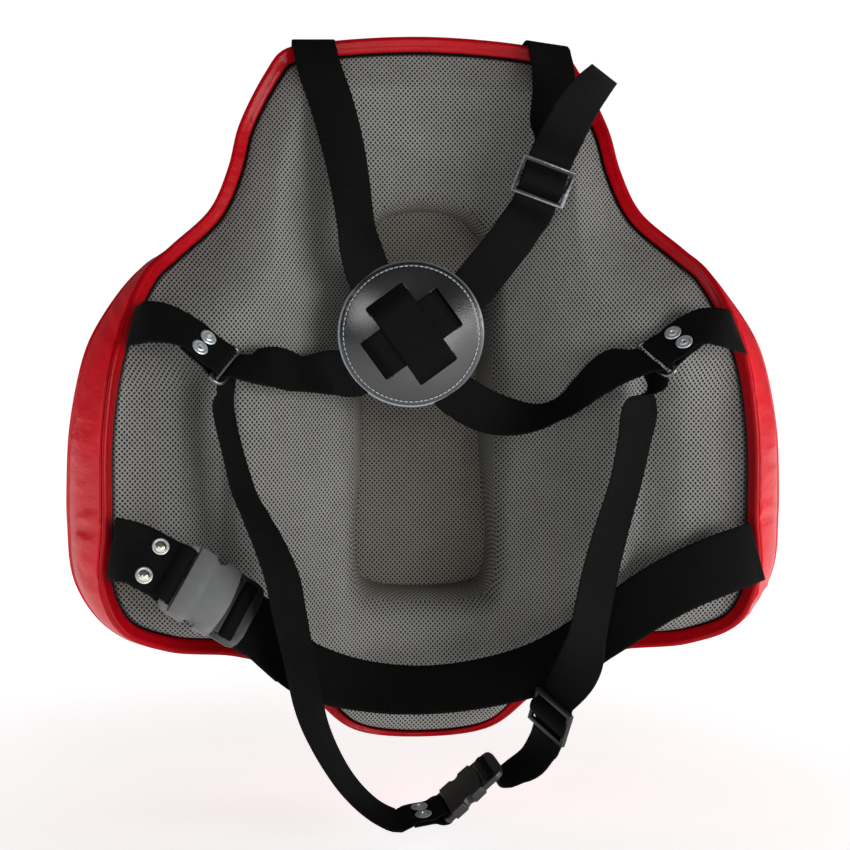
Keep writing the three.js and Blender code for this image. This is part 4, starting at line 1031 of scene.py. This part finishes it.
# Stitches of the plate
# Short lengths of thick pale thread, each pulled down into the leather at both ends, all round the plate.
STITCH_RADIUS = 45.3
STITCH_COUNT = 84
STITCH_LONG = 2.3
STITCH_THREAD = 0.42
STITCH_LIFT = 0.12
bpy.ops.object.select_all(action="DESELECT")
bpy.ops.mesh.primitive_cylinder_add(
    vertices=6, radius=STITCH_THREAD * MM, depth=STITCH_LONG * MM, rotation=(math.pi / 2, 0, 0))
stitch = bpy.context.object
bpy.ops.object.transform_apply(location=False, rotation=True, scale=False)
choose(stitch, faces=lambda f: abs(f.normal.y) > 0.9)
bpy.ops.mesh.inset(thickness=0.2 * MM)
bpy.ops.transform.translate(value=(0, 0, -0.25 * MM))
bpy.ops.object.mode_set(mode="OBJECT")
stitch_points = np.array([v.co[:] for v in stitch.data.vertices])
stitch_faces = [tuple(f.vertices) for f in stitch.data.polygons]
bpy.data.objects.remove(stitch)
ring_points, ring_faces = [], []
for number in range(STITCH_COUNT):
    turn = 2 * math.pi * number / STITCH_COUNT
    c, s = math.cos(turn), math.sin(turn)
    around = np.array([[c, -s, 0], [s, c, 0], [0, 0, 1]])
    moved = (stitch_points + (STITCH_RADIUS * MM, 0, PLATE_THICK / 2 * MM + STITCH_LIFT * MM)) @ around.T
    ring_faces += [tuple(i + len(ring_points) * len(stitch_points) for i in f) for f in stitch_faces]
    ring_points.append(moved)
stitch_mesh = bpy.data.meshes.new("plate_stitches")
stitch_mesh.from_pydata(np.vstack(ring_points).tolist(), [], ring_faces)
stitches = bpy.data.objects.new("plate_stitches", stitch_mesh)
bpy.context.collection.objects.link(stitches)
bow(stitches)
settle(stitches, 60)
place_in(stitches, plate_seat)
thread_finish, pen, feed = new_finish("stitch_thread", Specular_IOR_Level=0.3)
place = object_place(pen)
twist = noise(pen, place, 2200.0, 2.0)
feed("Base Color", twist.rise(0.3, 0.7).colours(rgb(120, 126, 130), rgb(186, 192, 196)))
feed("Roughness", 0.55 + twist * 0.2)
stitches.data.materials.append(thread_finish)
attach(stitches, "root")


# Shoulder slider
# A three-bar slider of blackened flat steel, its sharp edges painted bright as a highlight. The anchor
# strap is looped on its middle bar, and the cross strap passes behind both end rails and over the middle
# bar.
def rounded_copy(name, node, width, segments):
    """A node's own shape as a new piece, its triangles merged to flat faces and its edges rounded."""
    piece = bpy.data.objects.new(name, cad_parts[node].data.copy())
    piece.data.materials.clear()
    bpy.context.collection.objects.link(piece)
    choose(piece, faces=lambda f: True)
    bpy.ops.mesh.remove_doubles(threshold=1e-6)
    bpy.ops.mesh.dissolve_limited(angle_limit=math.radians(1))
    bpy.ops.object.mode_set(mode="OBJECT")
    apply_modifier(
        piece, "BEVEL", width=width * MM, segments=segments,
        limit_method="ANGLE", angle_limit=math.radians(30))
    choose(piece, faces=lambda f: True)
    bpy.ops.mesh.quads_convert_to_tris(quad_method="BEAUTY", ngon_method="BEAUTY")
    settle(piece)
    return piece


slider = rounded_copy("steel_slider", "shoulder_slider", 1.0, 4)
slider_finish, pen, feed = new_finish("slider_metal", Specular_IOR_Level=0.5)
place = object_place(pen)
scuff = noise(pen, place, 420.0, 4.0)
edge_pointiness_for_highlight = pen.node("ShaderNodeNewGeometry", {}, {}, 7)
# Painted highlight: the sharp edges are painted bright silver, and made more metallic and glossier
bright = (edge_pointiness_for_highlight + (scuff - 0.5) * 0.05).rise(0.51, 0.56)
feed("Base Color", bright.colours(rgb(17, 17, 18), rgb(138, 140, 142)))
feed("Metallic", 0.35 + bright * 0.6)
feed("Roughness", 0.42 - bright * 0.14 + scuff * 0.1)
feed("Normal", bumped(pen, scuff, 0.1 * MM, 0.25))
slider.data.materials.append(slider_finish)
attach(slider, "root")
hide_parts("shoulder_slider")


# Rings
# D-rings bent from dull steel wire, one at the end of each side tab. The folded tab holds the straight bar,
# and the cross strap turns down on the other one.
ring_finish, pen, feed = new_finish("ring_steel", Metallic=1.0)
place = object_place(pen)
scuff = noise(pen, place, 300.0, 4.0)
feed("Base Color", scuff.rise(0.3, 0.75).colours(rgb(96, 97, 99), rgb(136, 137, 139)))
feed("Roughness", 0.2 + scuff * 0.22)
feed("Normal", bumped(pen, scuff, 0.15 * MM, 0.3))
half_bar = RING_BAR / 2 + RING_WIRE
# Corners of a ring: their place along and across it, and the bend of the wire there
ring_corners = (
    (0, -half_bar, 3.0), (0, half_bar, 3.0), (RING_DEPTH, half_bar, 5.0), (RING_DEPTH, -half_bar, 5.0),
)
ring_outline = []
for u, v, bend_radius in ring_corners:
    du = bend_radius if u == 0 else -bend_radius
    dv = bend_radius if v < 0 else -bend_radius
    for k in range(7):
        angle = math.radians(15 * k)
        corner = (math.cos(angle), math.sin(angle))
        if (u == 0) != (v < 0):
            corner = corner[::-1]
        ring_outline.append((u + du - du * corner[1], v + dv - dv * corner[0]))
for side, seat in ring_seats.items():
    wire_path = bpy.data.curves.new("ring_" + side + "_wire", "CURVE")
    wire_path.dimensions = "3D"
    wire_path.bevel_depth = RING_WIRE * MM
    wire_path.bevel_resolution = 4
    spline = wire_path.splines.new("POLY")
    spline.points.add(len(ring_outline) - 1)
    for point, (u, v) in zip(spline.points, ring_outline):
        point.co = (*(seat.point(u, 0, v) * MM), 1)
    spline.use_cyclic_u = True
    ring = bpy.data.objects.new("ring_" + side + "_wire", wire_path)
    bpy.context.collection.objects.link(ring)
    alone(ring)
    bpy.ops.object.convert(target="MESH")
    ring = bpy.context.object
    settle(ring, 60)
    ring.data.materials.clear()
    ring.data.materials.append(ring_finish)
    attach(ring, "root")
    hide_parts("ring_" + side)


# Buckles and the loop slider
# Moulded black nylon: a side-release buckle at the waist, a smaller one at the bottom of the loop, and a
# three-bar slider above it. The sleeve at the waist has a paler satin face than the rest.
def moulded(name, dark, pale, gloss):
    """Moulded plastic with a fine spark finish, and its sharp edges painted lighter as a highlight."""
    material, pen, feed = new_finish(name, Specular_IOR_Level=0.5)
    place = object_place(pen)
    spark = noise(pen, place, 1900.0, 2.0)
    cloud = noise(pen, place, 45.0, 3.0)
    sharp_edge_highlight = pen.node("ShaderNodeNewGeometry", {}, {}, 7).rise(0.52, 0.6)
    # Painted highlight: the sharp edges are painted lighter than the cloudy body
    feed("Base Color", (cloud * 0.7 + sharp_edge_highlight * 0.5).rise(0.2, 0.9).colours(dark, pale))
    feed("Roughness", gloss + spark * 0.16 - sharp_edge_highlight * 0.1)
    feed("Normal", bumped(pen, spark, 0.12 * MM, 0.5))
    return material


satin_plastic = moulded("satin_plastic", rgb(82, 83, 83), rgb(106, 107, 107), 0.36)
black_plastic = moulded("black_plastic", rgb(16, 16, 16), rgb(38, 38, 38), 0.34)
BUCKLE_FLAT = 4.0
SLEEVE_THICK = 7.8
# Outlines of a buckle for 40 mm webbing, from the sleeve's bar on: along, and inwards from its side
SLEEVE_HALF = ((5.9, 0), (17.5, 0), (18.6, 2.6), (21.5, 4.2), (24.4, 2.6), (25.5, 0), (36.5, 0.6))
TAIL_OUTER = ((12, 0.4), (1.5, 0.4), (-2.2, 4.0))
TAIL_INNER = ((2.0, 4.6), (12, 4.6))
LADDER_OUTER = ((33, 1.2), (50, 1.2), (54.2, 2.4), (56.2, 5.5), (57.6, 12))
LADDER_INNER = ((33, 4.8), (53.0, 5.6), (54.0, 12))
SLEEVE_END, SLEEVE_BOW = 36.5, 3.0
BAR_HALF, BAR_INSET = 1.9, 3


def slab(outline, thick):
    """A flat moulding cut to an outline of points along and across, with rounded edges."""
    shape = bpy.data.meshes.new("slab")
    corners = [(v * MM, u * MM, -thick / 2 * MM) for u, v in outline]
    shape.from_pydata(corners, [], [tuple(range(len(corners)))])
    piece = bpy.data.objects.new("slab", shape)
    bpy.context.collection.objects.link(piece)
    choose(piece, faces=lambda f: True)
    bpy.ops.mesh.extrude_region_move(TRANSFORM_OT_translate={"value": (0, 0, thick * MM)})
    bpy.ops.mesh.select_all(action="SELECT")
    bpy.ops.mesh.normals_make_consistent(inside=False)
    bpy.ops.object.mode_set(mode="OBJECT")
    apply_modifier(
        piece, "BEVEL", width=0.8 * MM, segments=4, limit_method="ANGLE", angle_limit=math.radians(40))
    choose(piece, faces=lambda f: True)
    bpy.ops.mesh.quads_convert_to_tris(quad_method="BEAUTY", ngon_method="BEAUTY")
    bpy.ops.object.mode_set(mode="OBJECT")
    return piece


def other_side(points):
    """The same points on the other side of the middle line, in the opposite order."""
    return [(u, -v) for u, v in points[::-1]]


def fork(outer, inner):
    """The outline of a piece with two arms, from the outer and the inner points of one side."""
    return outer + other_side(outer) + other_side(inner) + inner


def joined(name, pieces):
    alone(pieces[0])
    for piece in pieces:
        piece.select_set(True)
    bpy.ops.object.join()
    pieces[0].name = name
    settle(pieces[0], 15)
    return pieces[0]


def buckle_halves(width, size):
    """The sleeve with its bar, and the ladder with its bar and bowed end rail."""
    halves = (SLEEVE_HALF, TAIL_OUTER, TAIL_INNER, LADDER_OUTER, LADDER_INNER)
    scaled = [[(u * size, width / 2 - v * size) for u, v in half] for half in halves]
    sleeve, tail_outer, tail_inner, ladder_outer, ladder_inner = scaled
    for share in (0.66, 0.33, 0):
        bowed = SLEEVE_END + SLEEVE_BOW * math.cos(math.pi / 2 * share)
        sleeve.append((bowed * size, width / 2 * share))
    sleeve_outline = sleeve + other_side(sleeve[:-1])
    reach = width / 2 - BAR_INSET * size
    near, far = (MALE_BAR - BAR_HALF) * size, (MALE_BAR + BAR_HALF) * size
    bar = [(near, -reach), (far, -reach), (far, reach), (near, reach)]
    female = [slab(sleeve_outline, SLEEVE_THICK * size), slab(fork(tail_outer, tail_inner), BUCKLE_FLAT)]
    male = [slab(fork(ladder_outer, ladder_inner), BUCKLE_FLAT), slab(bar, BUCKLE_FLAT)]
    return female, male


# Each buckle: its name, its seat, its width, its size against the outlines, and the plastics of its halves
BUCKLES = (
    ("waist", waist_seat, 49, WAIST_SIZE, (satin_plastic, black_plastic)),
    ("loop", loop_seat, 38, LOOP_SIZE, (black_plastic, black_plastic)),
)
plastic_pieces = []
for name, seat, width, size, plastics in BUCKLES:
    for half, pieces, plastic in zip(("female", "male"), buckle_halves(width, size), plastics):
        node = name + "_buckle_" + half
        piece = joined(node + "_moulding", pieces)
        place_in(piece, seat)
        plastic_pieces.append((node, piece, plastic))


def tipped(obj, was, now):
    """Turns a piece on its middle from one seat's attitude to another's."""
    ways = np.array([now.across, now.along, now.face]).T @ np.array([was.across, was.along, was.face])
    middle = Matrix.Translation(tuple(now.at * MM))
    obj.data.transform(middle @ Matrix([list(row) for row in ways]).to_4x4() @ middle.inverted())
    obj.data.update()


loop_slider_node_seat = Seat(loop_slider_seat.at, (0.31, -0.5, 0.95), -38, -27)
loop_slider_moulding = rounded_copy("loop_slider_moulding", "loop_slider", 0.7, 3)
tipped(loop_slider_moulding, loop_slider_node_seat, loop_slider_seat)
plastic_pieces.append(("loop_slider", loop_slider_moulding, black_plastic))
for node, piece, plastic in plastic_pieces:
    piece.data.materials.append(plastic)
    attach(piece, "root")
    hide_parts(node)


# Rivets
# Zinc-plated rivets through both plies of the webbing, each with a washer in front and a flat one behind.
# The heads are domed on the waist tab, and hollow and rolled on the side tabs and at the loop's end.
RIVET_FRONT = PLY / 2 + WEB / 2 + 0.6
RIVET_SHANK = 1.9
WASHER_RADIUS = 5.6
CORE_RADIUS = 3.8
# Each rivet: its node, the seat it is set on, its place along and across it, and whether its head is domed
RIVETS = (
    ("rivet_side_left_upper", tab_seats["left"], -16.5, 6.2, False),
    ("rivet_side_left_lower", tab_seats["left"], -16.5, -6.2, False),
    ("rivet_side_right_upper", tab_seats["right"], -16.5, 6.2, False),
    ("rivet_side_right_lower", tab_seats["right"], -16.5, -6.2, False),
    ("rivet_waist_upper", waist_first, -17.5, 11, True),
    ("rivet_waist_lower", waist_first, -17.5, -11, True),
    ("rivet_loop_upper", loop_first, -14, 6.2, False),
    ("rivet_loop_lower", loop_first, -14, -6.2, False),
)
# Profiles of the heads with their washers: radius, height
DOMED = (
    (0, 2.1), (1.4, 1.98), (2.6, 1.55), (3.4, 0.9), (3.7, 0.4),
    (4.0, 0.3), (4.4, 0.5), (5.0, 0.55), (5.4, 0.35), (WASHER_RADIUS, 0.05),
)
HOLLOW = (
    (0, -0.6), (1.0, -0.6), (1.25, 0.2), (1.6, 0.95), (2.2, 1.1), (2.8, 0.7),
    (3.1, 0.35), (3.6, 0.3), (4.4, 0.7), (5.2, 0.6), (WASHER_RADIUS, 0.1),
)
rivet_finish, pen, feed = new_finish("rivet_zinc", Specular_IOR_Level=0.5)
place = object_place(pen)
core = mark(pen, "core")
scuff = noise(pen, place, 700.0, 3.0)
zinc = scuff.rise(0.3, 0.75).colours(rgb(188, 196, 202), rgb(226, 230, 233))
feed("Base Color", core.colours(zinc, rgb(224, 214, 198)))
feed("Metallic", 0.75 + core * 0.25)
feed("Roughness", 0.34 - core * 0.16 + scuff * 0.12)
feed("Normal", bumped(pen, scuff, 0.12 * MM, 0.4))
for node, seat, along, across, domed in RIVETS:
    profile = [(r, RIVET_FRONT + h) for r, h in (DOMED if domed else HOLLOW)]
    profile += [(5.5, RIVET_FRONT - 0.1), (RIVET_SHANK, RIVET_FRONT - 0.1)]
    profile += [(RIVET_SHANK, -RIVET_FRONT), (5.5, -RIVET_FRONT)]
    profile += [(WASHER_RADIUS, -RIVET_FRONT - 0.5), (5.2, -RIVET_FRONT - 0.95), (0, -RIVET_FRONT - 0.95)]
    outline = bpy.data.meshes.new(node + "_head")
    profile_edges = [(k, k + 1) for k in range(len(profile) - 1)]
    outline.from_pydata([(r * MM, 0, h * MM) for r, h in profile], profile_edges, [])
    rivet = bpy.data.objects.new(node + "_head", outline)
    bpy.context.collection.objects.link(rivet)
    alone(rivet)
    bpy.ops.object.mode_set(mode="EDIT")
    bpy.ops.mesh.select_all(action="SELECT")
    bpy.ops.mesh.spin(steps=36, angle=2 * math.pi, center=(0, 0, 0), axis=(0, 0, 1))
    bpy.ops.mesh.select_all(action="SELECT")
    bpy.ops.mesh.remove_doubles(threshold=2e-6)
    bpy.ops.mesh.normals_make_consistent(inside=False)
    settle(rivet, 50)
    points = np.array([v.co[:] for v in rivet.data.vertices])
    reach = np.hypot(points[:, 0], points[:, 1]) / MM
    shown_core = (reach < CORE_RADIUS) & (points[:, 2] > 0) & domed
    core_mark = rivet.data.attributes.new("core", "FLOAT", "POINT")
    core_mark.data.foreach_set("value", shown_core.astype(np.float32))
    rivet_seat = Seat(seat.point(along, 0, across), seat.along, 0, 0)
    rivet_seat.along, rivet_seat.across, rivet_seat.face = seat.along, seat.across, seat.face
    place_in(rivet, rivet_seat)
    rivet.data.materials.append(rivet_finish)
    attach(rivet, "root")
    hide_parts(node)


# Floor, light and camera
# A plain white studio floor and a weak even light all round. A large soft key light stands low at the
# right, two small lamps give the plate its sheen, and a fill on each side lights the red walls.
FLOOR_Z = -0.275
bpy.ops.object.select_all(action="DESELECT")
bpy.ops.mesh.primitive_plane_add(size=12, location=(0, 0, FLOOR_Z))
floor = bpy.context.object
floor.name = "studio_floor"
floor_finish, pen, feed = new_finish(
    "studio_floor", Roughness=0.9, Specular_IOR_Level=0.0, Emission_Strength=1.0)
spread = pen.node("ShaderNodeVectorMath", {"operation": "LENGTH"}, {0: object_place(pen)}, 1)
feed("Base Color", spread.rise(0.2, 0.9).colours(rgb(240, 240, 240), rgb(252, 252, 252)))
feed("Emission Color", spread.rise(0.15, 1.0).colours(rgb(212, 212, 212), rgb(255, 255, 255)))
floor.data.materials.append(floor_finish)

scene = bpy.context.scene
scene.view_settings.view_transform = "Standard"
world = bpy.data.worlds.new("studio")
world.use_nodes = True
world.node_tree.nodes.clear()
pen = Signal(world.node_tree)
seen = pen.node("ShaderNodeBackground", {}, {"Color": (1, 1, 1, 1), "Strength": 1.02})
lighting = pen.node("ShaderNodeBackground", {}, {"Color": (1, 1, 1, 1), "Strength": 0.1})
camera_ray = pen.node("ShaderNodeLightPath", {}, {})
sky = pen.node("ShaderNodeMixShader", {}, {0: camera_ray, 1: lighting, 2: seen})
output = world.node_tree.nodes.new("ShaderNodeOutputWorld")
world.node_tree.links.new(sky.socket, output.inputs["Surface"])
scene.world = world

# Lamps: name, place, size, power
LAMPS = (
    ("key", (1.4, -1.65, -0.3), 1.4, 70.0),
    ("sheen_upper", (-0.37, -1.35, 0.29), 0.26, 1.2),
    ("sheen_lower", (0.2, -1.35, -0.12), 0.2, 0.8),
    ("left", (-1.9, -0.1, 0.1), 0.8, 7.0),
    ("right", (1.9, 0.3, 0.4), 0.8, 8.0),
)
for name, at, size, power in LAMPS:
    lamp = bpy.data.lights.new(name, "AREA")
    lamp.size = size
    lamp.energy = power
    lamp_object = bpy.data.objects.new(name, lamp)
    lamp_object.location = at
    lamp_object.rotation_euler = (-Vector(at)).to_track_quat("-Z", "Y").to_euler()
    bpy.context.collection.objects.link(lamp_object)

CAMERA_AT = Vector((-0.1031, -1.1789, 0.0620))
PICTURE_HALF, PICTURE_FOCAL = 425, 1692
camera = bpy.data.cameras.new("camera")
camera.sensor_width = 36
camera.angle = 2 * math.atan(PICTURE_HALF / PICTURE_FOCAL)
camera_object = bpy.data.objects.new("camera", camera)
camera_object.location = CAMERA_AT
camera_object.rotation_euler = (-CAMERA_AT).to_track_quat("-Z", "Y").to_euler()
bpy.context.collection.objects.link(camera_object)
scene.camera = camera_object
